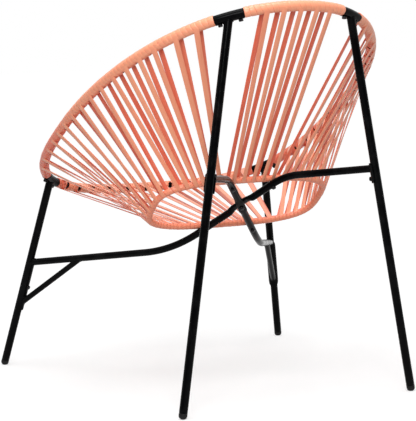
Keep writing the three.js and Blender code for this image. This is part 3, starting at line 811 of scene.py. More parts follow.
@dataclass
class Weave:
    """The cord: turns wound side by side round the hoop and the ring, and strands strung between them.

    Ridge shares and dips are the section of a turn: places over its width, and how far below its top it lies
    there. Towards the hoop's far sides and front, from the first to the second of aside and of forward, the
    cord gets a painted shade, as strong as the side shade says. A strand leaves a tube lifted off it by a
    share of the cord's thickness, and within the settling angle it has sunk into the turns.
    """

    hoop: TiltedLoop
    ring: TiltedLoop
    lines: Skeleton
    width: float = 11.8 * MM
    thickness: float = 1.7 * MM
    ring_width: float = 9.4 * MM
    hoop_split: float = 5.5 * MM
    ring_split: float = 9.5 * MM
    side_tuck: float = 6.5 * MM
    saddle_half: float = 31 * MM
    rear_ring_share: float = 0.117
    front_ring_share: float = 0.252
    ridge_shares: tuple[float, ...] = (0.0, 0.07, 0.2, 0.5, 0.8, 0.93)
    ridge_dips: tuple[float, ...] = (0.58, 0.22, 0.04, 0.0, 0.04, 0.22)
    unevenness: float = 0.1
    underside: float = 0.05 * MM
    lean_phase: float = 0.7
    lean_room: float = 2.0
    slit_slope: float = 2.2
    slit_start: float = 0.9
    slit_least: float = 0.02
    slit_reach: float = 0.9
    strand_steps: int = 20
    bend: float = math.radians(100)
    bend_steps: int = 7
    lifted: float = 0.62
    sinking: float = 0.8
    settling: float = 0.5
    section_degrees: tuple[float, ...] = (-12, 12, 55, 90, 125, 168, 192, 235, 270, 305)
    roll: float = math.radians(4)
    strand_tones: tuple[float, float] = (0.0, 0.3)
    # Painted shade in the seam before each turn, of random strength; seam fading weakens it where the side shade is
    # painted.
    seam_shade_tones: tuple[float, float] = (0.3, 1.2)
    seam_fading: float = 0.6
    deepest: float = 1.05
    # Painted shade on a strand's face towards the other layer, where less light reaches.
    hidden_shade: float = 0.85
    # Painted shade where a sleeve faces the other tube; on the hoop, inner at back and inner at side scale it, more
    # near the far sides.
    inner_shade: float = 0.35
    # Painted shade on the hoop towards its far sides and front, between aside and forward.
    side_shade: float = 1.1
    inner_at_back: float = 0.4
    inner_at_side: float = 3.0
    aside: tuple[float, float] = (205 * MM, 315 * MM)
    forward: tuple[float, float] = (60 * MM, -160 * MM)
    seed: int = 7

    def panels(self) -> list[Panel]:
        """The four panels, between the saddles. The side panels are strung by hand, a little unevenly."""
        rear, front, half = LEG_PLANS[End.REAR].saddle, LEG_PLANS[End.FRONT].saddle, self.saddle_half
        low = self.rear_ring_share / 2 * self.ring.length
        high = (1 - self.front_ring_share) / 2 * self.ring.length
        between = tuple((a + b) / 2 for a, b in zip(SIDE_HOOP_SHARES[:-1], SIDE_HOOP_SHARES[1:]))
        back = Panel(
            name="back",
            nodes=("weave_rear",),
            hoop_span=(half - rear, rear - half),
            ring_span=(-low, low),
            hoop_shares=BACK_HOOP_SHARES,
            ring_shares=BACK_RING_SHARES,
            first=Layer.OUTER,
            hoop_tucks=(5 * MM, 3 * MM, 1.5 * MM, 2.5 * MM, 4.5 * MM),
            ring_tucks=(2 * MM, 0.0, 0.0, 0.0, 1 * MM),
        )
        left = Panel(
            name="left",
            nodes=numbered("weave_left", 5),
            hoop_span=(rear + half, front - half),
            ring_span=(low, high),
            hoop_shares=SIDE_HOOP_SHARES,
            ring_shares=SIDE_RING_SHARES,
            first=Layer.INNER,
            slits=between[2:],
            ring_tucks=tuple(self.side_tuck * (1 - step(pair, 1.5, 6.5)) for pair in range(len(SIDE_RING_SHARES))),
        )
        lip = Panel(
            name="front",
            nodes=numbered("weave_front", 4),
            hoop_span=(front + half, self.hoop.length - front - half),
            ring_span=(high, self.ring.length - high),
            hoop_shares=FRONT_SHARES,
            ring_shares=FRONT_SHARES,
            first=Layer.INNER,
            slits=FRONT_SLITS,
            slit=9.5 * MM,
        )
        return [back, left, left.mirrored("right", numbered("weave_right", 5)), lip]

    def turn_edges(self, panel: Panel) -> list[Array]:
        """Edges between the turns on the hoop, in runs of turns that touch, with a slit's middle between two runs."""
        marks = [panel.hoop_span[0] + GAP, *panel.places(panel.hoop_span, panel.slits), panel.hoop_span[1] - GAP]
        return [
            np.linspace(start, end, max(1, round((end - start) / self.width)) + 1)
            for start, end in zip(marks[:-1], marks[1:])
        ]

    def facing(self, loop: TiltedLoop, arc: float, angles: Array) -> Array:
        """How far each side of a tube faces the other tube: the cosine of its angle from the way there.

        Args:
            loop: The hoop or the ring.
            arc: A length along it.
            angles: Angles round its tube.

        Returns:
            A value for each angle.
        """
        here = loop.stations(arc)
        other = self.ring if loop is self.hoop else self.hoop
        way = unit(np.array(other.middle) - here.point[0])
        return np.cos(angles - math.atan2(float(way @ here.up[0]), float(way @ here.across[0])))

    def ridges(self, edges: Array, wound: Wound, rng: np.random.Generator) -> tuple[Array, Array]:
        """The outer face of a run of turns: one rounded ridge for each, of slightly uneven height.

        Args:
            edges: Edges between the turns.
            wound: How turns lie on this tube.
            rng: The run's random numbers.

        Returns:
            Lengths along the tube and the distance from its middle line at each.
        """
        widths = np.diff(edges)
        rise = 1 - wound.ridge * np.array(self.ridge_dips)
        proud = 1 + self.unevenness * wound.ridge * rng.standard_normal(len(widths)).clip(-1.5, 1.5)
        arcs = (edges[:-1, None] + widths[:, None] * np.array(self.ridge_shares)[None, :]).ravel()
        heights = np.append((rise[None, :] * proud[:, None]).ravel(), rise[0])
        return np.append(arcs, edges[-1]), wound.radius + GAP / 2 + self.thickness * heights

    def shifts(self, arcs: Array, edges: Array, wound: Wound, facing: Array, ends: tuple[bool, bool]) -> Array:
        """How far the points of a run stand off their circles, along the tube.

        Circles lean by lean times the sine of the turn angle, so that the edges slant as on a wound cord, but
        not at an end that stands square against a saddle. Another end draws back by half a slit where strands
        leave the tube, and less on its way to the other side.

        Args:
            arcs: Lengths along the tube.
            edges: Edges between the turns.
            wound: How turns lie on this tube.
            facing: How far each side of the tube faces the other tube.
            ends: Whether the first and the last edge stand square.

        Returns:
            A shift for each length and each angle.
        """
        room = np.ones((len(arcs), 1))
        drawn = np.zeros((len(arcs), 1))
        for square, inward, off in ((ends[0], 1, arcs - edges[0]), (ends[1], -1, edges[-1] - arcs)):
            if square:
                room = room * smooth(off / (self.lean_room * self.width))[:, None]
            else:
                drawn = drawn + inward * smooth(1 - np.abs(off) / (self.slit_reach * self.width))[:, None]
        slit = wound.slit / 2 * np.clip(self.slit_slope * facing - self.slit_start, self.slit_least, 1.0)
        return wound.lean * room * np.sin(once_round(wound.sides) + self.lean_phase)[None, :] + slit[None, :] * drawn

    def turns(self, skin: Skin, loop: TiltedLoop, edges: Array, wound: Wound, ends: tuple[bool, bool]) -> None:
        """Adds one run of turns as a sleeve: ridges outside, and a plain face on the tube inside.

        The edge before each turn gets a painted shade of random strength, and the sleeve gets painted shade
        where it faces the other tube and, on the hoop, towards its far sides and front. Each run has random
        numbers of its own, from its place along the loop.

        Args:
            skin: The mesh that takes them.
            loop: The hoop or the ring.
            edges: Edges between the turns, as lengths along the loop.
            wound: How turns lie on this tube.
            ends: Whether the first and the last edge stand square against a saddle.
        """
        rng = np.random.default_rng(self.seed + int(edges[0] * 1e5) % 977)
        outer, outside = self.ridges(edges, wound, rng)
        arcs = np.concatenate([outer, edges[::-1]])
        reach = np.concatenate([outside, np.full(len(edges), wound.radius + self.underside)])
        angles = once_round(wound.sides)
        facing = self.facing(loop, edges[len(edges) // 2], angles)
        stations = loop.stations((arcs[:, None] + self.shifts(arcs, edges, wound, facing, ends)).ravel())
        outward = np.tile(np.cos(angles), len(arcs))[:, None] * stations.across
        outward = outward + np.tile(np.sin(angles), len(arcs))[:, None] * stations.up
        grid = stations.point + np.repeat(reach, wound.sides)[:, None] * outward
        # The edge row of each turn gets a painted seam shade of random strength.
        seams = np.zeros((len(edges) - 1, len(self.ridge_shares)))
        seams[:, 0] = rng.uniform(*self.seam_shade_tones, len(seams))
        seams = np.concatenate([seams.ravel(), np.ones(len(edges) + 1)])[:, None]
        # Painted shade on the side of the sleeve that faces the other tube.
        shade = self.inner_shade * np.clip(facing, 0, 1)[None, :]
        if loop is self.hoop:
            x, y, _ = stations.point.T.reshape(3, len(arcs), -1)
            beside = step(np.abs(x), *self.aside)
            # On the hoop: painted shade towards its far sides and front, which also fades the seam shade there.
            deep = self.side_shade * beside * step(y, *self.forward)
            seams = seams * (1 - self.seam_fading * np.minimum(deep, 1))
            shade = shade * (self.inner_at_back + self.inner_at_side * beside) + deep
        tones = seams + np.minimum(wound.tone + shade, self.deepest)
        skin.tube(grid.reshape(len(arcs), wound.sides, 3), loop=True, tone=tones, v=np.append(arcs, arcs[0]))

    def hold(self, station: Stations, radius: float, span: Array, layer: Layer, sign: float) -> tuple[Array, Array]:
        """The part of a strand that lies round a tube.

        At angle a from the tangent it lies lifted - sinking smooth(a / settling) thicknesses off the tube. Where
        the strand doesn't cross the tube squarely, it drifts along it by up to settling times the radius and the
        skew, as 1 - e^(-a / settling).

        Args:
            station: Where on the tube it lies.
            radius: The tube's radius.
            span: The direction from the hoop to the ring.
            layer: The face of the bowl.
            sign: -1 at the hoop and 1 at the ring.

        Returns:
            Points from the hidden end to the tangent, and the strip's normals there.
        """
        tangent = station.tangent[0]
        inside = unit(np.cross(span, tangent)) * layer.value
        away = unit(np.cross(tangent, inside))
        away = away * np.sign(np.dot(away, span)) * sign
        angles = np.linspace(self.bend, 0, self.bend_steps)
        reach = radius + GAP + self.thickness * (self.lifted - self.sinking * smooth(angles / self.settling))
        normal = np.cos(angles)[:, None] * inside + np.sin(angles)[:, None] * away
        lean = np.dot(span, tangent)
        skew = lean / max(np.linalg.norm(span - lean * tangent), 1e-6)
        drift = sign * skew * radius * self.settling * (1 - np.exp(-angles / self.settling))
        return station.point[0] + reach[:, None] * normal + drift[:, None] * tangent, normal

    def strand(self, skin: Skin, place: Strand, tone: float, roll: float) -> None:
        """Adds one strand: round the hoop, straight down to the ring, and round the ring.

        The path is an arc about each tube that leaves it at the tangent to the straight part, and its width
        turns evenly from the hoop's direction to the ring's. The section is a rounded bar: width times
        sign(cos) |cos|^0.3 and thickness times sign(sin) |sin|^0.7.

        Args:
            skin: The mesh that takes it.
            place: Where it lies.
            tone: Its own tone, to which the face towards the other layer adds a painted shade.
            roll: A small turn of the strip about its own line, at the middle.
        """
        top, low = self.hoop.stations(place.hoop_arc), self.ring.stations(place.ring_arc)
        span = unit(low.point[0] - top.point[0])
        path_a, normal_a = self.hold(top, self.lines.hoop_radius, span, place.layer, -1.0)
        path_b, normal_b = (part[::-1] for part in self.hold(low, self.lines.ring_radius, span, place.layer, 1.0))
        share = np.linspace(0, 1, self.strand_steps + 1)[1:-1]
        straight_part = path_a[-1] + share[:, None] * (path_b[0] - path_a[-1])
        blend = unit(normal_a[-1] + share[:, None] * (normal_b[0] - normal_a[-1]))
        path = np.concatenate([path_a, straight_part, path_b])
        normal = np.concatenate([normal_a, blend, normal_b])
        tangent = unit(np.gradient(path, axis=0))
        normal = unit(normal - np.sum(normal * tangent, 1, keepdims=True) * tangent)
        along = np.concatenate([np.zeros(len(path_a)), share, np.ones(len(path_b))])
        turn = roll * np.sin(math.pi * along) ** 2
        normal = np.cos(turn)[:, None] * normal + np.sin(turn)[:, None] * np.cross(tangent, normal)
        side = np.cross(tangent, normal)
        half = 0.5 * (self.width + smooth(along) * (self.ring_width - self.width))
        angles = np.array(self.section_degrees) * math.pi / 180
        flat, thick = bulge(np.cos(angles), 0.3), bulge(np.sin(angles), 0.7)
        grid = path[:, None, :] + (half[:, None] * flat[None, :])[:, :, None] * side[:, None, :]
        grid = grid + (0.5 * self.thickness * thick)[None, :, None] * normal[:, None, :]
        run = lengths_along(path)
        u = np.append(flat, flat[0]) * 0.5 + 0.5
        # The face towards the other layer gets the hidden painted shade on top of the strand's own tone.
        shade = np.where(thick > 0, tone, tone + self.hidden_shade)[::-1]
        skin.tube(grid[:, ::-1], tone=shade, u=u[::-1], v=np.append(run, run[-1]))

    def build(self, finishes: Finishes) -> None:
        """Makes one piece for each panel."""
        rng = np.random.default_rng(self.seed)
        # The ring's turns carry a painted shade of 0.45 towards the deep colour; the hoop's carry none.
        on_ring = Wound(self.lines.ring_radius, 18, 2.2 * MM, ridge=0.45, tone=0.45, slit=0.3 * MM)
        between = on_ring.slit / 2
        for panel in self.panels():
            skin = Skin()
            on_hoop = Wound(self.lines.hoop_radius, 28, 3.2 * MM, ridge=0.75, tone=0.0, slit=panel.slit)
            runs = self.turn_edges(panel)
            for place, edges in enumerate(runs):
                self.turns(skin, self.hoop, edges, on_hoop, (place == 0, place == len(runs) - 1))
            strands = panel.strands(self.hoop_split, self.ring_split)
            rest = np.array([strand.ring_arc for strand in strands])
            edges = np.concatenate([panel.ring_span[:1], (rest[1:] + rest[:-1]) / 2, panel.ring_span[1:]])
            for strand, start, end in zip(strands, edges[:-1] + between, edges[1:] - between):
                places = np.linspace(start, end, max(1, round((end - start) / self.width)) + 1)
                self.turns(skin, self.ring, places, on_ring, (False, False))
                self.strand(skin, strand, rng.uniform(*self.strand_tones), rng.normal(0, self.roll))
            skin.piece(f"cord_{panel.name}", finishes.cord, *panel.nodes)


def meeting(starts: Array, way: Array, centre: Array, axis: Array, radius: float) -> Array:
    """Where lines first meet a round bar.

    It solves the square equation for the distance t at which start plus t times way lies radius from the
    bar's line.

    Args:
        starts: Points that the lines start from.
        way: The lines' direction.
        centre: A point on the bar's line.
        axis: The bar's direction.
        radius: The bar's radius.

    Returns:
        The meeting point of each line.
    """
    rest = starts - centre
    rest = rest - (rest @ axis)[:, None] * axis
    flat = way - (way @ axis) * axis
    a, b, c = flat @ flat, 2 * rest @ flat, np.sum(rest * rest, 1) - radius**2
    reach = (-b - np.sqrt(np.maximum(b * b - 4 * a * c, 0))) / (2 * a)
    return starts + reach[:, None] * way


def straight(start: Array, direction: Array, distances: Array, hint: Array) -> Stations:
    """Stations along a straight line.

    Args:
        start: The line's start.
        direction: Its direction.
        distances: How far along it the stations lie.
        hint: A direction that the stations' across is square to.

    Returns:
        The stations.
    """
    across = unit(np.cross(hint, direction))
    ones = np.ones((len(distances), 1))
    points = start + distances[:, None] * direction
    return Stations(points, ones * direction, ones * across, ones * np.cross(direction, across))


@dataclass(frozen=True)
class Corner:
    """One leg with its foot and the place where the hoop rests on it."""

    end: End
    side: Side
    foot: Array
    seat: Stations

    @property
    def plan(self) -> LegPlan:
        """Its places."""
        return LEG_PLANS[self.end]

    @property
    def name(self) -> str:
        """The corner's name in the nodes."""
        return f"{self.end.value}_{self.side.name.lower()}"

    @property
    def arc(self) -> float:
        """The saddle's place along the hoop."""
        return self.side.value * self.plan.saddle

    @property
    def axis(self) -> Array:
        """The direction up the leg."""
        return unit(self.seat.point[0] - self.foot)

    @property
    def joint(self) -> Array:
        """Where the brace's line meets the leg's line."""
        return self.place(self.plan.joint)

    def place(self, height: float) -> Array:
        """A point at a length up the leg."""
        return self.foot + height * self.axis

    def stations(self, heights: Array) -> Stations:
        """Stations at lengths up the leg."""
        return straight(self.foot, self.axis, heights, LEG_HINT)

    def onto_saddle(self, starts: Array, radius: float) -> Array:
        """Points carried up along the leg until they meet a bar of this radius about the hoop's line."""
        return meeting(starts, self.axis, self.seat.point[0], self.seat.tangent[0], radius)


def corners(hoop: TiltedLoop) -> list[Corner]:
    """The four legs' places."""
    return [
        Corner(
            end,
            side,
            np.array([side.value * plan.foot_aside, plan.foot_back + BACK_SHIFT, 0.0]),
            hoop.stations(side.value * plan.saddle),
        )
        for end, plan in LEG_PLANS.items()
        for side in Side
    ]


def bead(path: Array, radius: float) -> Array:
    """A weld bead round a closed path: circles whose radius swells and shrinks a little from drop to drop.

    The radius at point i is the mean one times 1 + swell sin(i turn / drop).

    Args:
        path: Points of the closed path.
        radius: Mean radius.

    Returns:
        A grid of points, closed both ways.
    """
    swell, drop, sides = 0.12, 3, 8
    tangent = unit(np.roll(path, -1, 0) - np.roll(path, 1, 0))
    up = unit(np.cross(tangent, unit(path - path.mean(0))))
    across = np.cross(up, tangent)
    radii = radius * (1 + swell * np.sin(np.arange(len(path)) * TURN / drop))
    return Stations(path, tangent, across, np.cross(tangent, across)).ring(radii[:, None], once_round(sides))


def rounded(piece: bpy.types.Object, width: float) -> None:
    """Rounds a plate's edges with a narrow bevel."""
    bevel = piece.modifiers.new("edge", "BEVEL")
    bevel.width = width
    bevel.segments = 2
    bevel.limit_method = "ANGLE"
    bevel.angle_limit = math.radians(50)


@dataclass
class Legs:
    """Straight tube legs with a mouth shaped to the saddle at the top, and domed plugs at the floor."""

    places: list[Corner]
    lines: Skeleton
    mouth: float = 11.5 * MM
    cap_height: float = 12 * MM
    dome_height: float = 8.2 * MM
    dome_top: float = 7.2 * MM
    edge: float = 0.5 * MM
    first_row: float = 20 * MM
    last_row: float = 40 * MM
    rows: int = 24
    sides: int = 40

    def tube(self, corner: Corner) -> Skin:
        """The leg's tube: circles up its line, the last of them carried on until it meets the saddle."""
        skin = Skin()
        length = float(np.linalg.norm(corner.seat.point[0] - corner.foot))
        start = self.cap_height + GAP
        rows = np.linspace(self.first_row, length - self.last_row, self.rows)
        distances = np.concatenate([[start, start + self.edge], rows])
        radii = np.full((len(distances), 1), self.lines.leg_radius)
        radii[0] -= self.edge
        grid = corner.stations(distances).ring(radii, once_round(self.sides))
        grid = np.concatenate([grid, corner.onto_saddle(grid[-1], self.mouth)[None]])
        skin.tube(grid, v=np.append(distances, [length, length]))
        return skin

    def cap(self, corner: Corner) -> Skin:
        """The foot cap: a dome as wide as the leg, pressed flat at the floor, with a rounded shoulder at its top.

        With turn a from 0 to a quarter, the dome is leg radius times sin a wide, and its height is its top less
        dome height times cos a.
        """
        skin = Skin()
        turns = np.linspace(0.04, TURN / 4, 14)
        shoulder = np.array([0.6, 0.3, 0.1, 0.0, 0.0]) * MM
        inset = np.array([0.0, 0.05, 0.2, 0.5, 4.0]) * MM
        heights = np.concatenate([self.dome_top - self.dome_height * np.cos(turns), self.cap_height - shoulder])
        radii = self.lines.leg_radius * np.concatenate([np.sin(turns), np.ones(len(inset))])
        radii[len(turns) :] -= inset
        grid = corner.stations(heights).ring(radii[:, None], once_round(self.sides))
        grid[..., 2] = np.maximum(grid[..., 2], 0.0)
        skin.tube(grid)
        return skin

    def build(self, finishes: Finishes) -> None:
        """Makes the legs and their caps."""
        for corner in self.places:
            self.tube(corner).piece(f"tube_{corner.name}", finishes.coat, f"leg_{corner.name}")
            self.cap(corner).piece(f"cap_{corner.name}", finishes.rubber, f"foot_cap_{corner.name}")


@dataclass
class Hoops:
    """The bare tubes of the hoop and the seat ring, which show in the gaps of the cord and at the saddles."""

    hoop: TiltedLoop
    ring: TiltedLoop
    lines: Skeleton
    sides: int = 36

    def build(self, finishes: Finishes) -> None:
        """Makes both tubes."""
        for loop, radius, name, node, steps in (
            (self.hoop, self.lines.hoop_radius, "hoop_tube", "rim_hoop", 420),
            (self.ring, self.lines.ring_radius, "ring_tube", "seat_ring", 240),
        ):
            skin = Skin()
            arcs = np.arange(steps) * loop.length / steps
            grid = loop.stations(arcs).ring(radius, once_round(self.sides))
            skin.tube(grid, loop=True, v=np.append(arcs, loop.length))
            skin.piece(name, finishes.coat, node)


@dataclass
class Bolts:
    """Hexagon bolts with a pressed washer under the head, and the nut at the crossing."""

    head_radius: float = 5 * MM
    head_height: float = 3.6 * MM
    shank_radius: float = 2.5 * MM
    flats: int = 6
    sides: int = 48

    def piece(
        self,
        names: tuple[str, str],
        finishes: Finishes,
        seat: Array,
        inward: Array,
        shank: float,
        height: float | None = None,
    ) -> None:
        """Makes a bolt: washer, hexagon with a chamfered top, and shank.

        The hexagon's radius at an angle is its flat's distance over the cosine of the angle from the flat's middle.

        Args:
            names: The piece's name, and its node's.
            finishes: The chair's finishes.
            seat: The middle of the head's seat.
            inward: The direction of the shank.
            shank: Length of the shank.
            height: Height of the head, where it isn't the usual one.
        """
        top = -(height or self.head_height)
        angles = once_round(self.sides)
        wedge = TURN / self.flats
        flat = self.head_radius * math.cos(wedge / 2)
        hexagon = flat / np.cos(np.mod(angles, wedge) - wedge / 2)
        disc = np.full(self.sides, self.head_radius)
        thin = np.full(self.sides, self.shank_radius)
        rows = [
            (top, np.minimum(hexagon, flat * 0.55)),
            (top, np.minimum(hexagon, flat * 0.94)),
            (top + 0.35 * MM, np.minimum(hexagon, flat * 1.05)),
            (top + 0.6 * MM, hexagon * 0.985),
            (-0.9 * MM, hexagon * 0.985),
            (-0.7 * MM, disc * 0.96),
            (-0.5 * MM, disc),
            (-0.05 * MM, disc),
            (0.0, disc * 0.98),
            (0.0, thin),
            (shank, thin),
        ]
        stations = straight(seat, inward, np.array([row[0] for row in rows]), BOLT_HINT)
        skin = Skin()
        skin.tube(stations.ring(np.array([row[1] for row in rows]), angles))
        skin.piece(names[0], finishes.bolt, names[1])


@dataclass
class Saddles:
    """Half shells of bent sheet under the hoop, welded on the legs' tops, each with two bolts from below."""

    places: list[Corner]
    hoop: TiltedLoop
    lines: Skeleton
    bolts: Bolts
    length: float = 62 * MM
    thickness: float = 2 * MM
    half_wrap: float = math.radians(98)
    bolt_spacing: float = 44 * MM
    bolt_height: float = 4.5 * MM
    bead_radius: float = 1.9 * MM
    edge: float = 0.45 * MM
    rows: int = 17
    columns: int = 33

    def build(self, finishes: Finishes) -> None:
        """Makes the shells, their weld beads and their bolts."""
        inner = self.lines.hoop_radius + GAP
        outer = inner + self.thickness
        reach = self.length / 2 - GAP
        for corner in self.places:
            skin = Skin()
            stations = self.hoop.stations(corner.arc + np.linspace(-reach, reach, self.rows))
            middle = self.hoop.stations(corner.arc)
            down = math.atan2(-float(corner.axis @ middle.up[0]), -float(corner.axis @ middle.across[0]))
            angles = down + np.linspace(-self.half_wrap, self.half_wrap, self.columns)
            skin.slab(stations.ring(outer, angles), stations.ring(inner, angles))
            mouth = corner.stations(np.array([0.1])).ring(self.lines.leg_radius, once_round(36))[0]
            skin.tube(bead(corner.onto_saddle(mouth, outer), self.bead_radius), loop=True)
            rounded(skin.piece(f"saddle_{corner.name}", finishes.coat, f"rim_saddle_{corner.name}"), self.edge)
            shank = outer + GAP - self.lines.hoop_radius + BITE
            for hand, letter in ((-1, "a"), (1, "b")):
                spot = self.hoop.stations(corner.arc + hand * self.bolt_reach(corner, hand, outer))
                tangent = spot.tangent[0]
                inward = unit(corner.axis - (corner.axis @ tangent) * tangent)
                seat = spot.point[0] - (outer + GAP) * inward
                names = tuple(f"{stem}_{corner.name}_{letter}" for stem in ("hoop_screw", "rim_bolt"))
                self.bolts.piece(names, finishes, seat, inward, shank, self.bolt_height)

    def bolt_reach(self, corner: Corner, hand: int, outer: float) -> float:
        """How far a bolt stands from the leg's line along the hoop: half the spacing, or more beside a leaning leg."""
        lean = -hand * float(corner.axis @ corner.seat.tangent[0])
        leg = (self.lines.leg_radius + (outer + GAP + self.bolts.head_height) * lean) / math.sqrt(1 - lean**2)
        return max(self.bolt_spacing / 2, leg + self.bolts.head_radius + GAP)


@dataclass
class Braces:
    """Two bent tubes that cross under the seat, each from a front leg to the rear leg of the other side."""

    places: list[Corner]
    lines: Skeleton
    bolts: Bolts
    front_bend: float = 166 * MM
    rear_bend: float = 104 * MM
    front_ease: float = 76 * MM
    rear_ease: float = 34 * MM
    pressed_length: float = 17 * MM
    pressed_off: float = 4.1 * MM
    pressed_wider: float = 1.5 * MM
    pressed_lower: float = 4.12 * MM
    pressed_square: float = 0.35
    weld_gap: float = 0.1 * MM
    bead_radius: float = 1.1 * MM
    strut_radius: float = 6.6 * MM
    strut_inset: float = 10 * MM
    strut_reach: float = 153 * MM
    strut_bead: float = 1.0 * MM
    plate_wrap: float = math.radians(80)
    plate_edge: float = 0.5 * MM
    nut_height: float = 4 * MM
    sides: int = 32

    def corner(self, end: End, side: Side) -> Corner:
        """One of the four legs."""
        return next(c for c in self.places if c.end is end and c.side is side)

    def path(self, side: Side) -> tuple[Array, Array]:
        """The brace's line as dense points, and the length along it of each.

        Straight parts join two bends, each the curve (1-t)^2 start + 2t(1-t) corner + t^2 end.

        Args:
            side: The side of the front leg.

        Returns:
            The points and their lengths.
        """
        front = self.corner(End.FRONT, side).joint
        rear = self.corner(End.REAR, Side(-side.value)).joint
        spread = math.tan(self.lines.brace_splay)
        low = self.lines.on_slope(side.value * self.front_bend * spread, -self.front_bend)
        high = self.lines.on_slope(-side.value * self.rear_bend * spread, self.rear_bend)

        def bend(before: Array, knee: Array, after: Array, ease: float) -> Array:
            """Points round one eased corner."""
            t = np.linspace(0, 1, 24)[:, None]
            start, end = knee + ease * unit(before - knee), knee + ease * unit(after - knee)
            return (1 - t) ** 2 * start + 2 * t * (1 - t) * knee + t**2 * end

        first = bend(front, low, high, self.front_ease)
        second = bend(low, high, rear, self.rear_ease)
        share = np.linspace(0, 1, 12)[:, None]
        parts = [
            front + share[:-1] * (first[0] - front),
            first,
            first[-1] + np.linspace(0, 1, 60)[1:-1, None] * (second[0] - first[-1]),
            second,
            second[-1] + share[1:] * (rear - second[-1]),
        ]
        points = np.concatenate(parts)
        return points, lengths_along(points)

    def tube(self, side: Side) -> Skin:
        """A brace: an oval tube, round but pressed to half its height on its own side of the crossing.

        With share s of the pressing, the oval's half width is the radius plus wider times s, its half height is
        the radius less lower times s, and its middle stands off times s beside the line.
        """
        skin = Skin()
        points, lengths = self.path(side)
        tangent = unit(np.gradient(points, axis=0))
        across = unit(np.cross(self.lines.seat_up, tangent))
        up = np.cross(tangent, across)
        from_crossing = np.linalg.norm(points - self.lines.crossing, axis=1)
        pressed = 1 - step(from_crossing, self.pressed_length, 2 * self.pressed_length)
        angles = once_round(self.sides)
        wide = self.lines.brace_radius + self.pressed_wider * pressed
        high = self.lines.brace_radius - self.pressed_lower * pressed
        square = 1 - self.pressed_square * pressed[:, None]
        centre = points + (side.value * self.pressed_off * pressed)[:, None] * up
        sideways = wide[:, None] * bulge(np.cos(angles)[None, :], square)
        upwards = high[:, None] * bulge(np.sin(angles)[None, :], square)
        grid = centre[:, None, :] + sideways[..., None] * across[:, None, :] + upwards[..., None] * up[:, None, :]
        front, rear = self.corner(End.FRONT, side), self.corner(End.REAR, Side(-side.value))
        for row, corner, way, after in ((0, front, -tangent[0], 1), (-1, rear, tangent[-1], -1)):
            base = grid[row + after * 2]
            grid[row] = meeting(base, way, corner.joint, corner.axis, self.lines.plate_outer + self.weld_gap)
            grid[row + after] = (base + grid[row]) / 2
        skin.tube(grid, v=np.append(lengths, lengths[-1]))
        for row in (0, -1):
            skin.tube(bead(grid[row], self.bead_radius), loop=True)
        return skin

    def strut(self, side: Side) -> Skin:
        """A short round strut from the foot of the front plate up to the brace, with a bead at both ends."""
        skin = Skin()
        corner = self.corner(End.FRONT, side)
        points, lengths = self.path(side)
        away = np.array([np.interp(self.strut_reach, lengths, points[:, i]) for i in range(3)])
        root = corner.place(corner.plan.plate_start + self.strut_inset)
        way = unit(away - root)
        half = np.array([0.5 * float(np.linalg.norm(away - root))])
        middle = straight(root, way, half, self.lines.seat_up).ring(self.strut_radius, once_round(24))[0]
        low = meeting(middle, -way, root, corner.axis, self.lines.plate_outer + self.weld_gap)
        high = meeting(middle, way, points[0], unit(points[2] - points[0]), self.lines.brace_radius)
        skin.tube(np.stack([low, middle, high]))
        for end in (low, high):
            skin.tube(bead(end, self.strut_bead), loop=True)
        return skin

    def plate(self, corner: Corner) -> Skin:
        """A curved plate on the leg, with round ends.

        Its half angle at share t of its half length is the wrap times the root of 1 - |t|^power, and never less
        than the wrap times least.

        Args:
            corner: The leg that carries it.

        Returns:
            The plate's mesh.
        """
        skin = Skin()
        power, least = 10, 0.3
        inward = self.inward(corner)
        aside = np.cross(corner.axis, inward)
        shares = np.sin(np.linspace(-math.pi / 2, math.pi / 2, 25))
        half = corner.plan.plate_length / 2
        wrap = self.plate_wrap * np.maximum(np.sqrt(1 - np.abs(shares) ** power), least)
        angles = np.linspace(-1, 1, 21)[None, :] * wrap[:, None]
        outward = np.cos(angles)[..., None] * inward + np.sin(angles)[..., None] * aside
        centre = corner.foot + (corner.plan.plate_start + half + shares * half)[:, None, None] * corner.axis
        skin.slab(centre + self.lines.plate_outer * outward, centre + self.lines.plate_inner * outward)
        return skin

    def inward(self, corner: Corner) -> Array:
        """The direction from the leg towards the crossing, square to the leg."""
        toward = self.lines.crossing - corner.joint
        return unit(toward - (toward @ corner.axis) * corner.axis)

    def build(self, finishes: Finishes) -> None:
        """Makes the braces, struts, plates and their bolts."""
        for side in Side:
            hand = side.name.lower()
            self.tube(side).piece(f"brace_{hand}", finishes.coat, f"cross_brace_{hand}")
            self.strut(side).piece(f"strut_{hand}", finishes.coat, f"brace_strut_{hand}")
        outside = self.lines.plate_outer + GAP
        for corner in self.places:
            plate = self.plate(corner).piece(f"plate_{corner.name}", finishes.coat, f"leg_bracket_{corner.name}")
            rounded(plate, self.plate_edge)
            inward = self.inward(corner)
            seat = corner.place(corner.plan.plate_start + corner.plan.bolt) + outside * inward
            names = (f"plate_screw_{corner.name}", f"bracket_bolt_{corner.name}")
            self.bolts.piece(names, finishes, seat, -inward, outside - self.lines.leg_radius + BITE)
        self.seat_bolts(finishes)

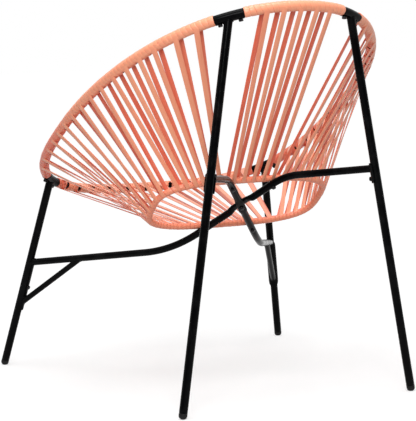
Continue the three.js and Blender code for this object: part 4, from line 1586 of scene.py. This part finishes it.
    def seat_bolts(self, finishes: Finishes) -> None:
        """Makes the bolts under the ring, and the bolt and nut of the crossing."""
        lines, up = self.lines, self.lines.seat_up
        below = lines.brace_radius + GAP
        for side in Side:
            for bar in (-1, 1):
                along = bar * lines.ring_reach - lines.ring_forward
                under = lines.on_slope(-side.value * along * math.tan(lines.brace_splay), along)
                name = f"{'rear' if bar > 0 else 'front'}_{'left' if side.value * bar < 0 else 'right'}"
                names = (f"ring_screw_{name}", f"ring_bolt_{name}")
                shank = below + lines.ring_lift - lines.ring_radius + BITE
                self.bolts.piece(names, finishes, under - below * up, up, shank)
        seats = lines.crossing - below * up, lines.crossing + below * up
        self.bolts.piece(("crossing_screw", "centre_bolt"), finishes, seats[0], up, 2 * below + self.nut_height)
        self.bolts.piece(("crossing_nut", "centre_nut"), finishes, seats[1], -up, 0.2 * MM, self.nut_height)


@dataclass(frozen=True)
class Lamp:
    """A square soft lamp."""

    name: str
    place: Triple
    width: float
    power: float


@dataclass
class Studio:
    """The pale floor, the soft light and the camera."""

    eye: Triple = (1.818, 3.7672 + BACK_SHIFT, 0.7916)
    yaw: float = math.radians(-154.4013)
    pitch: float = math.radians(-5.1408)
    roll: float = math.radians(-1.4708)
    focal_pixels: float = 1847.46
    centre_pixels: tuple[float, float] = (206.806, 194.311)
    size_pixels: tuple[int, int] = (416, 421)
    sensor: float = 36.0
    sky: float = 0.3
    dark_side: float = 0.06
    dark_sky: tuple[float, float] = (0.0, 0.45)
    dark_floor: tuple[float, float] = (0.4, 1.6)
    floor_white: float = 0.5
    floor_half: float = 30.0
    floor_under: float = 0.4 * MM
    far_glow: float = 0.86
    near_glow: float = 0.5
    aim: Triple = (0.0, 0.0, 0.45)
    top: Lamp = Lamp("top", (0.3, 0.6, 3.2), 2.2, 72)
    beside: Lamp = Lamp("camera_side", (1.7, 3.2, 2.1), 1.6, 88)

    def camera(self) -> None:
        """The camera, turned as the photograph's: forward from yaw and pitch, then rolled about it."""
        level = math.cos(self.pitch)
        forward = Vector((math.sin(self.yaw) * level, math.cos(self.yaw) * level, math.sin(self.pitch)))
        right = forward.cross(Vector((0, 0, 1))).normalized()
        up = right.cross(forward)
        cosine, sine = math.cos(self.roll), math.sin(self.roll)
        data = bpy.data.cameras.new("camera")
        longest = max(self.size_pixels)
        data.sensor_width = self.sensor
        data.lens = self.focal_pixels * self.sensor / longest
        data.shift_x = (self.size_pixels[0] / 2 - self.centre_pixels[0]) / longest
        data.shift_y = -(self.size_pixels[1] / 2 - self.centre_pixels[1]) / longest
        data.clip_end = 100
        made = placed("camera", data)
        turn = Matrix((cosine * right + sine * up, cosine * up - sine * right, -forward)).transposed().to_4x4()
        made.matrix_world = Matrix.Translation(self.eye) @ turn
        bpy.context.scene.camera = made

    def seen(self, shader: Shader, dark: tuple[float, float]) -> Value:
        """1 for the rays that show the backdrop itself: from the camera, in gloss and through glass.

        In gloss it fades out towards the camera's side, where the studio is dark.

        Args:
            shader: The floor's material, or the world.
            dark: Where the fading starts and ends, as distances or directions towards the camera.

        Returns:
            The share of the backdrop's white.
        """
        path = shader.node("ShaderNodeLightPath")
        camera, glossy, through = (
            shader.value(path, name) for name in ("Is Camera Ray", "Is Glossy Ray", "Is Transmission Ray")
        )
        towards = (-math.sin(self.yaw), -math.cos(self.yaw), 0.0)
        side = shader.node("ShaderNodeVectorMath", {"operation": "DOT_PRODUCT"}, {0: shader.place(), 1: towards})
        pale = 1 - shader.value(side, "Value").ramp(*dark) * (1 - self.dark_side)
        return camera.larger(glossy * pale).larger(through)

    def world(self) -> None:
        """A white sky that lights softly and shows as white."""
        shader = Shader("sky", world=True)
        strength = self.seen(shader, self.dark_sky) * (1 - self.sky) + self.sky
        shader.end(shader.node("ShaderNodeBackground", inputs={"Color": WHITE, "Strength": strength}))
        bpy.context.scene.world = shader.holder

    def floor(self) -> None:
        """A wide white floor at the feet, which keeps the chair's soft shadow.

        Its glow makes up for the lamp's light, which falls off as 1 over the square of 1 + (distance / height)^2.
        """
        shader = Shader("floor_white")
        x, y, height = self.top.place
        reach = shader.node("ShaderNodeVectorMath", {"operation": "DISTANCE"}, {0: shader.place(), 1: (x, y, 0)})
        away = shader.value(reach, "Value") / height
        lit = (away * away + 1) ** -2
        strength = self.seen(shader, self.dark_floor) * (self.far_glow - (self.far_glow - self.near_glow) * lit)
        diffuse = shader.node("ShaderNodeBsdfDiffuse", inputs={"Color": (*[self.floor_white] * 3, 1)})
        glow = shader.node("ShaderNodeEmission", inputs={"Color": WHITE, "Strength": strength})
        shader.end(shader.node("ShaderNodeAddShader", inputs={0: diffuse, 1: glow}))
        mesh = bpy.data.meshes.new("floor")
        half = self.floor_half
        mesh.from_pydata([(-half, -half, 0), (half, -half, 0), (half, half, 0), (-half, half, 0)], [], [(0, 1, 2, 3)])
        mesh.materials.append(shader.holder)
        made = placed("floor", mesh)
        made.location.z = -self.floor_under

    def lamp(self, lamp: Lamp) -> None:
        """Adds a lamp that faces the chair."""
        data = bpy.data.lights.new(lamp.name, "AREA")
        data.shape = "SQUARE"
        data.size = lamp.width
        data.energy = lamp.power
        aim = (Vector(self.aim) - Vector(lamp.place)).to_track_quat("-Z", "Y").to_matrix().to_4x4()
        placed(lamp.name, data).matrix_world = Matrix.Translation(lamp.place) @ aim

    def build(self) -> None:
        """Makes the whole stage."""
        self.camera()
        self.world()
        self.floor()
        self.lamp(self.top)
        self.lamp(self.beside)
        bpy.context.scene.view_settings.view_transform = "Standard"


def main() -> None:
    """Builds the stage and the chair."""
    logging.basicConfig(level=logging.INFO, format="%(name)s: %(message)s")
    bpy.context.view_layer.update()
    Studio().build()
    finishes = Finishes(CordFinish().make(), CoatFinish().make(), BoltFinish().make(), RubberFinish().make())
    lines, bolts = Skeleton(), Bolts()
    hoop, ring = lines.hoop(), lines.ring()
    places = corners(hoop)
    Hoops(hoop, ring, lines).build(finishes)
    Legs(places, lines).build(finishes)
    Saddles(places, hoop, lines, bolts).build(finishes)
    Braces(places, lines, bolts).build(finishes)
    Weave(hoop, ring, lines).build(finishes)


if __name__ == "__main__":
    main()
